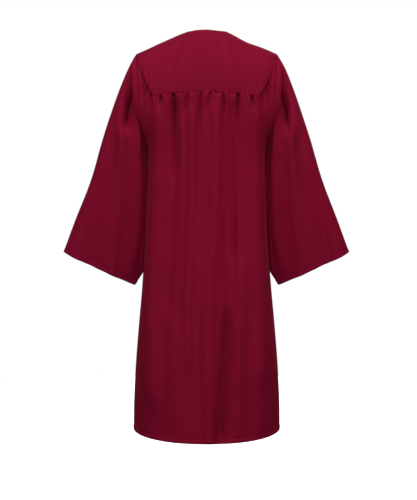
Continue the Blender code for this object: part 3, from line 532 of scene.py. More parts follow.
def yokeOutline(turn, cornerTurn, edgeTurn):
    capZ = armholePoint(armholeAngle(yokeCut["armholeShare"]))
    share = np.clip(turn / cornerTurn, 0, 1)
    x, z = yokeCut["corner"][0] * share, yokeCut["seamZ"] - yokeCut["seamSag"] * share**2
    curve = yokeEdge(np.clip((turn - cornerTurn) / (edgeTurn - cornerTurn), 0, 1))
    onEdge = turn > cornerTurn
    x, z = np.where(onEdge, curve[0], x), np.where(onEdge, curve[1], z)
    c = np.clip((turn - edgeTurn) / (1 - edgeTurn), 0, 1)
    onCap = turn > edgeTurn
    x = np.where(onCap, yokeCut["edgeTopX"] + (float(capZ[0]) - yokeCut["edgeTopX"]) * c, x)
    return x, np.where(onCap, float(capZ[2]), z)


def yokeTop(turn):
    neck = yokeCut["yokeMarks"][0]
    angle = np.clip(turn / neck, 0, 1) * math.pi / 2
    share = np.clip((turn - neck) / (1 - neck), 0, 1)
    onNeck = turn <= neck
    x = np.where(onNeck, gown["sideNeckX"] * np.sin(angle),
                 gown["sideNeckX"] + (gown["shoulderTipX"] - gown["sideNeckX"]) * share)
    y = np.where(onNeck, -gown["napeBack"] * np.cos(angle), 0.0) - gown["seamGap"] / 2
    arch = gown["napeRise"] * np.cos(angle) ** 2 - (gown["napeDrop"] + gown["napeRise"]) * np.cos(angle)
    z = np.where(onNeck, arch, -gown["shoulderDrop"] * share)
    return x, y, z


def sagged(points):
    # one shoulder a little lower than the other, on the yoke and the front alike
    sag = gown["shoulderSag"]
    endZ, reach = sag["end"]
    points = points.copy()
    x, z = points[..., 0], points[..., 2]
    points[..., 2] -= sag["depth"] * bell(x - sag["x"], sag["width"]) * ease((z - endZ) / reach)
    return points


def bothHalves(x, y, z):
    # from the right half to the whole width, left side first
    points = np.stack((x, y, z), axis=-1)
    mirrored = points[:, :0:-1] * np.array((-1.0, 1.0, 1.0))
    return np.concatenate((mirrored, points), axis=1)


def smoothedAcross(points, share, passes=90):
    # takes the crease below the neck's corners out, and leaves the two sewn edges as they are
    weight = (ease(share / 0.16) * ease((1 - share) / 0.16))[..., None]
    soft = points.copy()
    for _ in range(passes):
        soft[:, 1:-1] = 0.5 * soft[:, 1:-1] + 0.25 * (soft[:, :-2] + soft[:, 2:])
    return points + (soft - points) * weight


def seamDip(distance, depth=0.0016, reach=0.0034):
    return -depth * np.exp(-((distance / reach) ** 2))


yokeRipples = rowsOf("x xNeck width height", (
    (-0.118, -0.060, 0.013, -0.0010), (-0.088, -0.046, 0.010, 0.0009), (-0.053, -0.026, 0.010, -0.0013),
    (-0.026, -0.012, 0.010, 0.0012), (-0.002, 0.000, 0.009, -0.0012), (0.029, 0.014, 0.010, 0.0013),
    (0.058, 0.027, 0.010, -0.0012), (0.086, 0.042, 0.011, 0.0011), (0.121, 0.062, 0.013, -0.0009),
))


yokeShape = {
    "columns": 112,
    "rows": 66,
    "crowding": 1.25,  # rows lie closer together above the seam
    "seamDip": 0.0008,
    "ripple": 1.9,
    "unevenness": 0.0007,
    "pucker": 0.0012,  # just above the gathered seam
    "stillEdge": 0.7,  # how much of it all is taken out at the shoulder tips
}


def makeYoke():
    turn = np.linspace(0, 1, yokeShape["columns"] + 1)[None]
    share = 1 - (1 - np.linspace(0, 1, yokeShape["rows"])[:, None]) ** yokeShape["crowding"]
    top = yokeTop(turn)
    lowX, lowZ = yokeOutline(turn, *yokeCut["yokeMarks"][1:])
    low = lowX, -upperBackDepth(lowX, lowZ), lowZ
    neck = yokeCut["yokeMarks"][0]
    near = np.where(turn < neck, turn / neck, (1 - turn) / (1 - neck))
    rounding = yokeCut["rounding"] + (yokeCut["neckRounding"] - yokeCut["rounding"]) * ease(near)
    plain = quarterRound(top, low, share, rounding)
    side = armholePoint(armholeAngle(yokeCut["armholeShare"]) * share)
    side = side[0], np.minimum(-side[1], -gown["seamGap"] / 2), side[2]
    ends = [part[:, -1:] for part in top], [part[:, -1:] for part in low]
    straight = quarterRound(*ends, share, yokeCut["rounding"])
    weight = turn**8
    points = bothHalves(*[p + weight * (s - q) for p, s, q in zip(plain, side, straight)])
    points = smoothedAcross(points, share)
    share = share + points[..., 0] * 0
    x = points[..., 0]
    height = seamDip((1 - share) * yokeCut["length"], yokeShape["seamDip"])
    height += seamDip(share * yokeCut["length"]) * ease((np.abs(x) - 0.06) / 0.01)
    for ripple in yokeRipples:
        centre = ripple["xNeck"] + (ripple["x"] - ripple["xNeck"]) * share
        rise = yokeShape["ripple"] * ripple["height"] * ease(share / 0.8)
        height += rise * bell(x - centre, ripple["width"] * (0.6 + 0.4 * share))
    height += yokeShape["unevenness"] * softNoise(x / 0.03, share * 3, 21)
    aboveSeam = ease((share - 0.80) / 0.14) * (1 - ease((share - 0.98) / 0.02))
    height += yokeShape["pucker"] * softNoise(x / 0.0085, share, 23) * aboveSeam
    wide = np.abs(np.linspace(-1, 1, x.shape[1]))[None]
    height *= 1 - yokeShape["stillEdge"] * ease((wide - 0.9) / 0.1)
    points = sagged(points - gridNormals(points) * height[..., None])
    return sheetMesh("yokeCloth", points, gownCloth), points


def smoothedDown(points, across, middle, reach, passes=60):
    # evens the rows about one height, and leaves the sewn sides as they are
    z = points[..., 2]
    weight = (bell(z - middle, reach) * (1 - ease((np.abs(across) - 0.90) / 0.09)))[..., None]
    for _ in range(passes):
        mean = 0.5 * (points[:-2] + points[2:])
        points[1:-1] += 0.5 * weight[1:-1] * (mean - points[1:-1])
    return points


def heightsToHem(count):
    # heights below the underarm, closer together over the sewn hem
    plain, dense = np.linspace(underarmZ, gown["hemZ"] + 0.030, count - 11), np.linspace(0.030, 0.0, 13)
    return np.concatenate((plain[1:], gown["hemZ"] + dense[1:]))[:, None]


backShape = {
    "columns": 156,
    "upperRows": 58,
    "lowerRows": 78,
    "crowding": 1.35,  # rows lie closer together below the yoke
    "square": 0.32,  # squarer in section below the underarm, and round again at the hem
    "squareFrom": (underarmZ, 0.12),
    "hemRound": 0.34,
    "hemRoundFrom": (-0.98, 0.24),
    "bow": 0.0030,  # the middle of the hem hangs lower
    "bowFrom": (-1.10, 0.12),
    "level": 0.19,  # how far the folds are kept from lifting the hem
    "levelFrom": (-1.06, 0.15),
    "underarmReach": 0.030,
    "foldsEnd": (0.87, 0.11),  # share of the half width
    "gathersEnd": (0.965, 0.035),
    "yokeDip": 0.0018,
    "edgeDip": 0.0010,
    "sidePuff": 0.0034,
    "sidePuffDrop": 0.008,
    "sidePuffFrom": (-0.09, 0.03),
    "sidePuffEnd": (-0.32, 0.06),
}


def makeBack():
    turn = np.linspace(0, 1, backShape["columns"] + 1)[None]
    level = np.linspace(0, 1, backShape["upperRows"])[:, None] ** backShape["crowding"]
    topX, topZ = yokeOutline(turn, *yokeCut["backMarks"])
    # a seam's gap outside the yoke's outline
    alongX, alongZ = np.gradient(topX[0]), np.gradient(topZ[0])
    size = np.hypot(alongX, alongZ)
    topX = topX + (yokeCut["gap"] * alongZ / size)[None]
    topZ = topZ - (yokeCut["gap"] * alongX / size)[None]
    lowX, _ = sectionPoint(underarmZ, turn, bodyDepth(underarmZ, "back"), gown["power"])
    first = yokeCut["armholeShare"] + yokeCut["gap"] / gown["armholeDepth"]
    side = armholePoint(armholeAngle(first + (1 - first) * level))
    x = topX + (lowX - topX) * level
    z = topZ + (underarmZ - topZ) * level
    x = x + turn**6 * (side[0] - (topX[:, -1:] + (gown["underarmX"] - topX[:, -1:]) * level))
    z = z + turn**6 * (side[2] - (topZ[:, -1:] + (underarmZ - topZ[:, -1:]) * level))
    y = -np.maximum(upperBackDepth(x, z), gown["seamGap"] / 2)
    below = np.hypot(topX - x, topZ - z)
    upper = bothHalves(x, y, z)
    below = np.concatenate((below[:, :0:-1], below), axis=1)
    lowerZ = heightsToHem(backShape["lowerRows"])
    squarer = backShape["square"] * past(lowerZ, backShape["squareFrom"])
    squarer = squarer - backShape["hemRound"] * past(lowerZ, backShape["hemRoundFrom"])
    x, y = sectionPoint(lowerZ, turn, bodyDepth(lowerZ, "back"), gown["power"] + squarer)
    bow = backShape["bow"] * past(lowerZ, backShape["bowFrom"]) * (1 - turn**2)
    lower = bothHalves(x, -np.maximum(y, gown["seamGap"] / 2), lowerZ - bow)
    points = np.concatenate((upper, lower), axis=0)
    below = np.concatenate((below, 1.0 + lower[..., 0] * 0), axis=0)
    x, z = points[..., 0], points[..., 2]
    across = np.linspace(-1, 1, x.shape[1])[None] + x * 0
    points = smoothedDown(points, across, underarmZ, backShape["underarmReach"])
    x, z = points[..., 0], points[..., 2]
    (foldsEnd, foldsReach), (gathersEnd, gathersReach) = backShape["foldsEnd"], backShape["gathersEnd"]
    inside = 1 - ease((np.abs(across) - foldsEnd) / foldsReach)
    height = gatherHeight(x, z, below) * (1 - ease((np.abs(across) - gathersEnd) / gathersReach))
    slack = slackHeight(x, z, 31) * ease(below / 0.03)
    height += inside * (foldHeight(backFolds, bodyHeights, x, z) + slack)
    sideEdge = (1 - np.abs(across)) * gown["sideWidth"]
    dip = backShape["yokeDip"] + backShape["edgeDip"] * onCurve(x)
    height += seamDip(below, dip) + seamDip(sideEdge, gown["sideDip"])
    endZ, endReach = backShape["sidePuffEnd"]
    beside = past(z, backShape["sidePuffFrom"]) * ease((z - endZ) / endReach)
    height += backShape["sidePuff"] * puffed(sideEdge, backShape["sidePuffDrop"]) * beside
    points = points - gridNormals(points) * height[..., None]
    points[..., 2] += backShape["level"] * height * past(z, backShape["levelFrom"])
    return points


def frontTop(turn):
    neck = gown["neckTurn"]
    share = np.clip(turn / neck, 0, 1)
    x = gown["zipHalf"] + (gown["sideNeckX"] - gown["zipHalf"]) * share
    y = bodyDepth(gown["vNeckZ"], "front") * (1 - share**2) ** 0.75
    over = np.clip((turn - neck) / (1 - neck), 0, 1)
    onNeck = turn <= neck
    x = np.where(onNeck, x, gown["sideNeckX"] + (gown["shoulderTipX"] - gown["sideNeckX"]) * over)
    z = np.where(onNeck, gown["vNeckZ"] * (1 - share), -gown["shoulderDrop"] * over)
    return x, np.where(onNeck, y, 0.0) + gown["seamGap"] / 2, z


def frontPoint(z, turn):
    x, y = sectionPoint(z, turn, bodyDepth(z, "front"), gown["power"])
    # the fronts part over the zip and meet in a seam below it
    centre = gown["zipHalf"] * (1 - past(z, gown["zipOpening"]))
    return np.maximum(x, centre + 0.5 * x), np.maximum(y, gown["seamGap"] / 2)


frontShape = {"columns": 88, "upperRows": 84, "lowerRows": 100, "foldsFrom": (0.08, 0.12), "foldsEnd": (0.78, 0.18)}


def makeFront(sign):
    turn = np.linspace(0, 1, frontShape["columns"] + 1)[None]
    share = np.linspace(0, 1, frontShape["upperRows"])[:, None]
    side = armholePoint(math.pi * share)
    side = side[0], np.maximum(side[1], gown["seamGap"] / 2), side[2]
    centreZ = gown["vNeckZ"] + (underarmZ - gown["vNeckZ"]) * share
    centre = gown["zipHalf"] + share * 0, bodyDepth(centreZ, "front"), centreZ
    low = frontPoint(underarmZ, turn) + (underarmZ + turn * 0,)
    top = frontTop(turn)
    point = quarterRound(top, low, share, 1.0)
    plainSide = quarterRound([p[:, -1:] for p in top], [p[:, -1:] for p in low], share, 1.0)
    plainCentre = quarterRound([p[:, :1] for p in top], [p[:, :1] for p in low], share, 1.0)
    upper = np.stack([
        p + turn**4 * (a - q) + (1 - turn) ** 4 * (c - m)
        for p, a, q, c, m in zip(point, side, plainSide, centre, plainCentre)], axis=-1)
    lowerZ = heightsToHem(frontShape["lowerRows"])
    x, y = frontPoint(lowerZ, turn)
    points = np.concatenate((upper, np.stack((x, y, lowerZ + x * 0), axis=-1)), axis=0)
    points = points * np.array((sign, 1.0, 1.0))
    x, z = points[..., 0], points[..., 2]
    across = turn + x * 0
    (start, startReach), (end, endReach) = frontShape["foldsFrom"], frontShape["foldsEnd"]
    inside = ease((across - start) / startReach) * (1 - ease((across - end) / endReach))
    height = inside * (foldHeight(frontFolds, bodyHeights, x, z) + slackHeight(x, z, 51 + sign))
    height += seamDip((1 - across) * gown["sideWidth"], gown["sideDip"])
    onShoulder = ease((turn - gown["neckTurn"]) / 0.06)
    down = np.concatenate((share * gown["armholeDepth"], 1.0 + lowerZ * 0), axis=0)
    height += seamDip(down + x * 0) * onShoulder
    return sagged(points + sign * gridNormals(points) * height[..., None])


# Sleeves: outer edge of the hanging sleeve, and its sections from armhole to cuff

sleeveCut = {
    "innerLength": 0.438,
    "outerLength": 0.62,
    "gap": 0.0001,
    "bodyClearance": 0.005,
    "capPuff": 0.0034,  # stands up beside the armhole seam
    "capPuffDrop": 0.008,
    "innerFlat": 0.90,  # keeps the back of the sleeve flat up to the body
    "backFuller": 0.18,
    "unevenness": 0.0013,
    "capDip": (0.0017, 0.0032),
    "columns": 176,
    "rings": 158,
}
sleeveOuterEdge = rowsOf("z x", (
    (-0.069, 0.2185), (-0.105, 0.2390), (-0.147, 0.2580), (-0.209, 0.2820),
    (-0.332, 0.3240), (-0.457, 0.3620), (-0.582, 0.4110), (-0.681, 0.4480),
))
sleeveSections = rowsOf("down innerX innerY bulge", (
    (0.00, 0.1820, 0.000, 0.072), (0.06, 0.1810, 0.040, 0.073), (0.15, 0.1780, 0.050, 0.073),
    (0.40, 0.1760, 0.054, 0.068), (0.70, 0.1820, 0.056, 0.060), (0.88, 0.1960, 0.056, 0.053),
    (1.00, 0.2270, 0.052, 0.048),
))
sleeveHeights = {"xTop": -0.12, "xUpper": -0.20, "xElbow": -0.34,
                 "xMiddle": -0.47, "xLower": -0.60, "xCuff": -0.72}
sleeveColumns = "xTop xUpper xElbow xMiddle xLower xCuff zTop zBottom width height"
# x is taken outwards on both sides
sleeveFolds = {
    "back": rowsOf(sleeveColumns, (
        (0.2180, 0.2175, 0.2150, 0.2140, 0.2170, 0.2330, -0.040, -0.40, 0.0120, 0.0140),
        (0.2180, 0.2175, 0.2120, 0.2060, 0.2120, 0.2320, -0.300, -0.78, 0.0150, 0.0075),
        (0.2365, 0.2410, 0.2470, 0.2440, 0.2440, 0.2540, -0.010, -0.33, 0.0115, -0.0340),
        (0.2315, 0.2350, 0.2400, 0.2440, 0.2440, 0.2540, -0.010, -0.30, 0.0060, -0.0160),
        (0.2620, 0.2620, 0.2600, 0.2700, 0.2810, 0.2990, -0.250, -0.95, 0.016, 0.0075),
        (0.2750, 0.2780, 0.2840, 0.3030, 0.3400, 0.3620, -0.290, -0.95, 0.016, -0.0085),
        (0.2900, 0.2950, 0.3120, 0.3480, 0.3880, 0.4180, -0.250, -0.95, 0.018, 0.0050),
        (0.3000, 0.3050, 0.3230, 0.3300, 0.3620, 0.3920, -0.440, -0.95, 0.010, -0.0035),
    )),
    "front": rowsOf(sleeveColumns, (
        (0.2280, 0.2290, 0.2300, 0.2310, 0.2350, 0.2480, -0.110, -0.80, 0.013, 0.0055),
        (0.2520, 0.2520, 0.2500, 0.2480, 0.2540, 0.2620, -0.100, -0.70, 0.0150, -0.0100),
        (0.2700, 0.2700, 0.2730, 0.2830, 0.2960, 0.3180, -0.240, -0.95, 0.016, 0.0065),
        (0.2860, 0.2880, 0.2960, 0.3220, 0.3540, 0.3780, -0.300, -0.95, 0.017, -0.0080),
        (0.3000, 0.3050, 0.3250, 0.3600, 0.3950, 0.4250, -0.300, -0.95, 0.018, 0.0045),
    )),
}


def makeSleeve(sign):
    theta = np.linspace(0, 2 * math.pi, sleeveCut["columns"], endpoint=False)[None]
    onBack = theta <= math.pi
    angle = np.where(onBack, theta, 2 * math.pi - theta)
    down = np.linspace(0, 1, sleeveCut["rings"])[:, None]
    outerZ = -gown["shoulderDrop"] + (sleeveOuterEdge[-1]["z"] + gown["shoulderDrop"]) * down
    outer = through(sleeveOuterEdge, "z", "x", outerZ), 0.0, outerZ
    inner = (through(sleeveSections, "down", "innerX", down), through(sleeveSections, "down", "innerY", down),
             underarmZ - sleeveCut["innerLength"] * down)
    bulge = through(sleeveSections, "down", "bulge", down)
    share = (1 - np.cos(angle)) / 2
    x, y, z = (a + (b - a) * share for a, b in zip(outer, inner))
    flat = sleeveCut["innerFlat"] * ease((share - 0.45) / 0.35) * ease(down / 0.15)
    flatter = np.where(onBack, 1 - flat, 1.0)
    fuller = 1 + sleeveCut["backFuller"] * ease((down - 0.1) / 0.2)
    y = y + bulge * np.sin(angle) ** flatter * np.where(onBack, -fuller, 1)
    straightX = gown["shoulderTipX"] + (gown["underarmX"] - gown["shoulderTipX"]) * share
    x = x + (armholePoint(angle)[0] - straightX) * (1 - down) ** 3 + sleeveCut["gap"]
    # kept clear of the body below the underarm
    room = sleeveCut["gap"] + (sleeveCut["bodyClearance"] - sleeveCut["gap"]) * ease(down / 0.15)
    depth = np.where(y < 0, bodyDepth(z, "back"), bodyDepth(z, "front")) + room
    inside = np.maximum(1 - (np.abs(y) / depth) ** gown["power"], 0.0)
    bodyX = (halfWidth(z) + room) * inside ** (1 / gown["power"])
    x = np.where(z < underarmZ, np.maximum(x, bodyX), x)
    points = np.stack((sign * x, y, z), axis=-1)
    wide = down + share * 0
    outX, start = np.abs(points[..., 0]), ease(wide / 0.022) * ease((share + wide * 0) / 0.07)
    height = start * np.where(onBack, foldHeight(sleeveFolds["back"], sleeveHeights, outX, z),
                              foldHeight(sleeveFolds["front"], sleeveHeights, outX, z))
    uneven = softNoise(share * 9 + np.where(onBack, 0, 20), wide * 3.2, 71 + sign)
    height += sleeveCut["unevenness"] * uneven * ease(wide / 0.1)
    height *= 1 - 0.85 * bell(share - 1.0, 0.07)  # calm at the underarm seam
    fromCap = wide * sleeveCut["outerLength"]
    height += seamDip(fromCap, *sleeveCut["capDip"])
    onTop = ease(share / 0.06) * (1 - ease((share - 0.6) / 0.2))
    height += sleeveCut["capPuff"] * puffed(fromCap, sleeveCut["capPuffDrop"]) * onTop
    return points + sign * gridNormals(points, ring=True) * height[..., None]


# Cutting, hemming and dressing

dressing = {
    "hemFold": 0.0135,
    "stitchDip": 0.0009,
    "stitchReach": 0.0026,
    "edgeFlare": 0.0006,
    "pucker": 0.00045,
    "foldSteps": 5,
    "foldBehind": 0.0017,
    "foldEdge": 0.0007,
    "allowance": (0.0080, 0.0045, 0.0012),  # heights of the seam turned up behind the yoke
    "allowanceBehind": 0.0013,
}


def hemStitched(points, outward, ring=False):
    # the sewn line above the edge draws the cloth in, and the turning stands out below it
    run = np.linalg.norm(np.diff(points, axis=0), axis=2)
    up = np.concatenate((np.cumsum(run[::-1], axis=0)[::-1], np.zeros((1, points.shape[1]))), axis=0)
    around = np.arange(points.shape[1])[None] * 0.35 + up * 0
    pucker = dressing["pucker"] * softNoise(around, up / 0.02, 88) * bell(up - dressing["hemFold"], 0.012)
    if not ring:
        column = np.arange(points.shape[1])
        pucker *= ease(np.minimum(column, column[::-1]) / 5)[None]
    line = -dressing["stitchDip"] * bell(up - dressing["hemFold"], dressing["stitchReach"])
    band = dressing["edgeFlare"] * ease((dressing["hemFold"] - up) / 0.004)
    return points + outward * (line + band + pucker)[..., None]


def turnedUp(points, outward):
    # adds the turning: round the edge and up the inside to the sewn line
    steps, behind = dressing["foldSteps"], dressing["foldBehind"]
    run = np.linalg.norm(np.diff(points, axis=0), axis=2)[::-1]
    reach = np.concatenate((np.zeros((1, points.shape[1])), np.cumsum(run, axis=0)), axis=0)
    upward = points[::-1] - outward[::-1] * behind
    beyond = (points[-1] - points[-2]) / run[0][:, None]
    rows = [points[-1] - outward[-1] * behind * 0.5 + beyond * dressing["foldEdge"]]
    for k in range(steps + 1):
        want = dressing["hemFold"] * k / steps
        j = int(np.searchsorted(reach.mean(axis=1), want, side="right")) - 1
        share = (want - reach[j].mean()) / (reach[j + 1].mean() - reach[j].mean())
        rows.append(upward[j] * (1 - share) + upward[j + 1] * share)
    return np.concatenate((points, np.array(rows)), axis=0)


def seamAllowance(count):
    # the back's gathered edge is turned up inside, behind the yoke
    behind = (yokePoints + dressing["allowanceBehind"] * gridNormals(yokePoints))[::-1]
    own, other = np.linspace(-1, 1, count), np.linspace(-1, 1, yokePoints.shape[1])
    marks = (0, *yokeCut["backMarks"], 1), (0, *yokeCut["yokeMarks"][1:], 1)
    place = np.sign(own) * np.interp(np.abs(own), *marks)
    lines = [insetLine(behind, distance) for distance in dressing["allowance"]]
    return np.array([np.stack([np.interp(place, other, line[:, k]) for k in range(3)], axis=-1)
                     for line in lines])


def declare(piece, nodes):
    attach(piece, "gown")
    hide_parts(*nodes)


def clothArea(points, ring=False):
    if ring:
        points = np.concatenate((points, points[:, :1]), axis=1)
    a, b = points[1:, :-1] - points[:-1, :-1], points[:-1, 1:] - points[:-1, :-1]
    return float(np.linalg.norm(np.cross(a, b), axis=2).sum())


yokeCloth, yokePoints = makeYoke()
declare(yokeCloth, ["back_yoke"])
print("yoke made", round(clothArea(yokePoints), 4))

backPoints = makeBack()
backPoints = hemStitched(backPoints, -gridNormals(backPoints))
hemmed = turnedUp(backPoints, -gridNormals(backPoints))
backSheet = np.concatenate((seamAllowance(backPoints.shape[1]), hemmed))
backCloth = sheetMesh("backCloth", backSheet, gownCloth)
declare(backCloth, ["back_panel"])
print("back made", round(clothArea(backPoints), 4))

fronts = {}
sleeves = {}
for side, sign in (("Left", -1), ("Right", 1)):
    points = makeFront(sign)
    points = hemStitched(points, sign * gridNormals(points))
    fronts[side] = points
    front = sheetMesh("frontCloth" + side, turnedUp(points, sign * gridNormals(points)), gownCloth)
    declare(front, ["front_" + side.lower()])
    print("front made", side, round(clothArea(points), 4))
    points = makeSleeve(sign)
    points = hemStitched(points, sign * gridNormals(points, True), True)
    sleeves[side] = points
    hemmed = turnedUp(points, sign * gridNormals(points, True))
    sleeve = sheetMesh("sleeveCloth" + side, hemmed, gownCloth, ring=True)
    nodes = [f"sleeve_{side.lower()}_{face}" for face in ("back", "front")]
    declare(sleeve, nodes)
    print("sleeve made", side, round(clothArea(points, True), 4))


# Sewing and zip, each made by its own node tree

sewing = {
    "pitch": 0.0030,
    "stitchLength": 0.0024,
    "stitchWidth": 0.0005,
    "stitchRise": 0.0004,
    "lift": 0.0005,  # above the middle of the cloth
    "unevenness": 0.12,
    "seed": 17,
    "zipInset": 0.0060,
    "neckInset": 0.0070,
    "cornerSkip": 3,  # points left out where the neck's line would run over the zip's
    "zipEnd": -0.962,
}
zipSizes = {
    "behind": 0.0016,  # the chain's middle, behind the front line
    "topZ": -0.1590,
    "bottomZ": -0.9455,
    "pitch": 0.0014,
    "toothLength": 0.0026,
    "toothHeight": 0.0011,
    "toothDepth": 0.0020,
    "toothX": 0.0012,
    "stagger": 0.25,  # of the pitch, each way
    "pathPoints": 160,
    "topStop": {"x": 0.0036, "z": -0.1524, "size": (0.0022, 0.0026, 0.0028)},
    "bottomStop": {"x": 0.0, "z": -0.9474, "size": (0.0058, 0.0030, 0.0036)},
    "stopBevel": 0.0005,
}


def newTree(name, inputs):
    # a node tree with one geometry in and out, and its named inputs
    tree = bpy.data.node_groups.new(name, "GeometryNodeTree")
    tree.interface.new_socket(name="Geometry", in_out="OUTPUT", socket_type="NodeSocketGeometry")
    tree.interface.new_socket(name="Geometry", in_out="INPUT", socket_type="NodeSocketGeometry")
    for label, kind in inputs:
        tree.interface.new_socket(name=label, in_out="INPUT", socket_type=kind)
    source = tree.nodes.new("NodeGroupInput")
    result = tree.nodes.new("NodeGroupOutput")
    return tree, source, result


def linker(tree):
    def link(start, startSocket, end, endSocket):
        tree.links.new(start.outputs[startSocket], end.inputs[endSocket])
    return link


def alongPathTree(name, shapeKind, axis, pivot):
    # copies one small shape along every path: resample, turn to the path, realize, set material
    inputs = [("Pitch", "NodeSocketFloat"), ("Size", "NodeSocketVector"), ("Unevenness", "NodeSocketFloat"),
              ("Seed", "NodeSocketInt"), ("Material", "NodeSocketMaterial")]
    tree, source, result = newTree(name, inputs)
    link = linker(tree)
    path = tree.nodes.new("GeometryNodeMeshToCurve")
    spaced = tree.nodes.new("GeometryNodeResampleCurve")
    spaced.mode = "LENGTH"
    link(source, "Geometry", path, "Mesh")
    link(path, "Curve", spaced, "Curve")
    link(source, "Pitch", spaced, "Length")
    shape = tree.nodes.new(shapeKind)
    if shapeKind == "GeometryNodeMeshUVSphere":
        shape.inputs["Segments"].default_value = 6
        shape.inputs["Rings"].default_value = 4
        shape.inputs["Radius"].default_value = 0.5
    else:
        shape.inputs["Vertices"].default_value = 8
        shape.inputs["Radius"].default_value = 0.5
        shape.inputs["Depth"].default_value = 1.0
    lying = tree.nodes.new("GeometryNodeTransform")
    lying.inputs["Rotation"].default_value = (0.0, math.pi / 2, 0.0)
    sized = tree.nodes.new("GeometryNodeTransform")
    link(shape, "Mesh", lying, "Geometry")
    link(lying, "Geometry", sized, "Geometry")
    link(source, "Size", sized, "Scale")
    turned = tree.nodes.new("FunctionNodeAlignRotationToVector")
    turned.axis = axis
    turned.pivot_axis = pivot
    along = tree.nodes.new("GeometryNodeInputTangent")
    link(along, "Tangent", turned, "Vector")
    vary = tree.nodes.new("FunctionNodeRandomValue")
    least = tree.nodes.new("ShaderNodeMath")
    least.operation = "SUBTRACT"
    least.inputs[0].default_value = 1.0
    link(source, "Unevenness", least, 1)
    tree.links.new(least.outputs[0], vary.inputs[2])
    vary.inputs[3].default_value = 1.0
    link(source, "Seed", vary, "Seed")
    copies = tree.nodes.new("GeometryNodeInstanceOnPoints")
    link(spaced, "Curve", copies, "Points")
    link(sized, "Geometry", copies, "Instance")
    link(turned, "Rotation", copies, "Rotation")
    tree.links.new(vary.outputs[1], copies.inputs["Scale"])
    real = tree.nodes.new("GeometryNodeRealizeInstances")
    dyed = tree.nodes.new("GeometryNodeSetMaterial")
    link(copies, "Instances", real, "Geometry")
    link(real, "Geometry", dyed, "Geometry")
    link(source, "Material", dyed, "Material")
    link(dyed, "Geometry", result, "Geometry")
    return tree


def grownAlong(name, paths, tree, values, material):
    # runs the tree on the paths, and leaves one plain mesh
    vertices, edges = [], []
    for path, closed in paths:
        first = len(vertices)
        vertices += [tuple(map(float, point)) for point in path]
        edges += [(first + k, first + k + 1) for k in range(len(path) - 1)]
        if closed:
            edges.append((len(vertices) - 1, first))
    wire = bpy.data.meshes.new(name + "Path")
    wire.from_pydata(vertices, edges, [])
    carrier = bpy.data.objects.new(name + "Path", wire)
    bpy.context.scene.collection.objects.link(carrier)
    modifier = carrier.modifiers.new("along", "NODES")
    modifier.node_group = tree
    for item in tree.interface.items_tree:
        if item.in_out == "INPUT" and item.name in values:
            modifier[item.identifier] = values[item.name]
    ready = carrier.evaluated_get(bpy.context.evaluated_depsgraph_get())
    mesh = bpy.data.meshes.new_from_object(ready)
    mesh.name = name
    carrier.modifiers.remove(modifier)
    bpy.data.objects.remove(carrier)
    return placedPiece(name, mesh, material)


def lifted(points, outward):
    return points + outward * sewing["lift"]


def sewnPaths():
    hem = dressing["hemFold"]
    paths = [(insetLine(lifted(backPoints, -gridNormals(backPoints))[::-1], hem), False)]
    yoke = lifted(yokePoints, -gridNormals(yokePoints))
    onNeck = np.abs(yokePoints[0, :, 0]) <= gown["sideNeckX"]
    paths.append((insetLine(yoke[:, onNeck], sewing["neckInset"]), False))
    for side, sign in (("Left", -1), ("Right", 1)):
        front = lifted(fronts[side], sign * gridNormals(fronts[side]))
        paths.append((insetLine(front[::-1], hem), False))
        edge = insetLine(front.transpose(1, 0, 2), sewing["zipInset"])
        reached = (edge[:, 2] > sewing["zipEnd"]) & (edge[:, 2] < gown["vNeckZ"])
        paths.append((edge[reached], False))
        neckEnd = int(gown["neckTurn"] * (front.shape[1] - 1))
        paths.append((insetLine(front[:, :neckEnd], sewing["neckInset"])[sewing["cornerSkip"]:], False))
        sleeve = lifted(sleeves[side], sign * gridNormals(sleeves[side], True))
        paths.append((insetLine(sleeve[::-1], hem), True))
    return paths


stitchTree = alongPathTree("stitchesAlong", "GeometryNodeMeshUVSphere", "X", "AUTO")
stitches = grownAlong("sewnStitches", sewnPaths(), stitchTree, {
    "Pitch": sewing["pitch"],
    "Size": (sewing["stitchLength"], sewing["stitchWidth"], sewing["stitchRise"]),
    "Unevenness": sewing["unevenness"],
    "Seed": sewing["seed"],
    "Material": threadCloth,
}, threadCloth)
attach(stitches, "gown")
print("stitches made", len(stitches.data.polygons))


def chainPoint(x, z):
    step = 0.001
    slope = (bodyDepth(z - step, "front") - bodyDepth(z + step, "front")) / (2 * step)
    tilt = np.arctan(slope)
    return np.stack((x + z * 0, bodyDepth(z, "front") - zipSizes["behind"] * np.cos(tilt),
                     z - zipSizes["behind"] * np.sin(tilt)), axis=-1)


chainPaths = []
for sign in (-1, 1):
    stagger = zipSizes["pitch"] * (zipSizes["stagger"] * sign)
    heights = np.linspace(zipSizes["topZ"] + stagger, zipSizes["bottomZ"] + stagger, zipSizes["pathPoints"])
    chainPaths.append((chainPoint(sign * zipSizes["toothX"], heights), False))
toothTree = alongPathTree("teethAlong", "GeometryNodeMeshCylinder", "Z", "X")
teeth = grownAlong("zipTeeth", chainPaths, toothTree, {
    "Pitch": zipSizes["pitch"],
    "Size": (zipSizes["toothLength"], zipSizes["toothDepth"], zipSizes["toothHeight"]),
    "Unevenness": 0.0,
    "Seed": sewing["seed"],
    "Material": zipCoil,
}, zipCoil)
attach(teeth, "gown")
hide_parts("zip_chain")
print("zip teeth made", len(teeth.data.polygons))


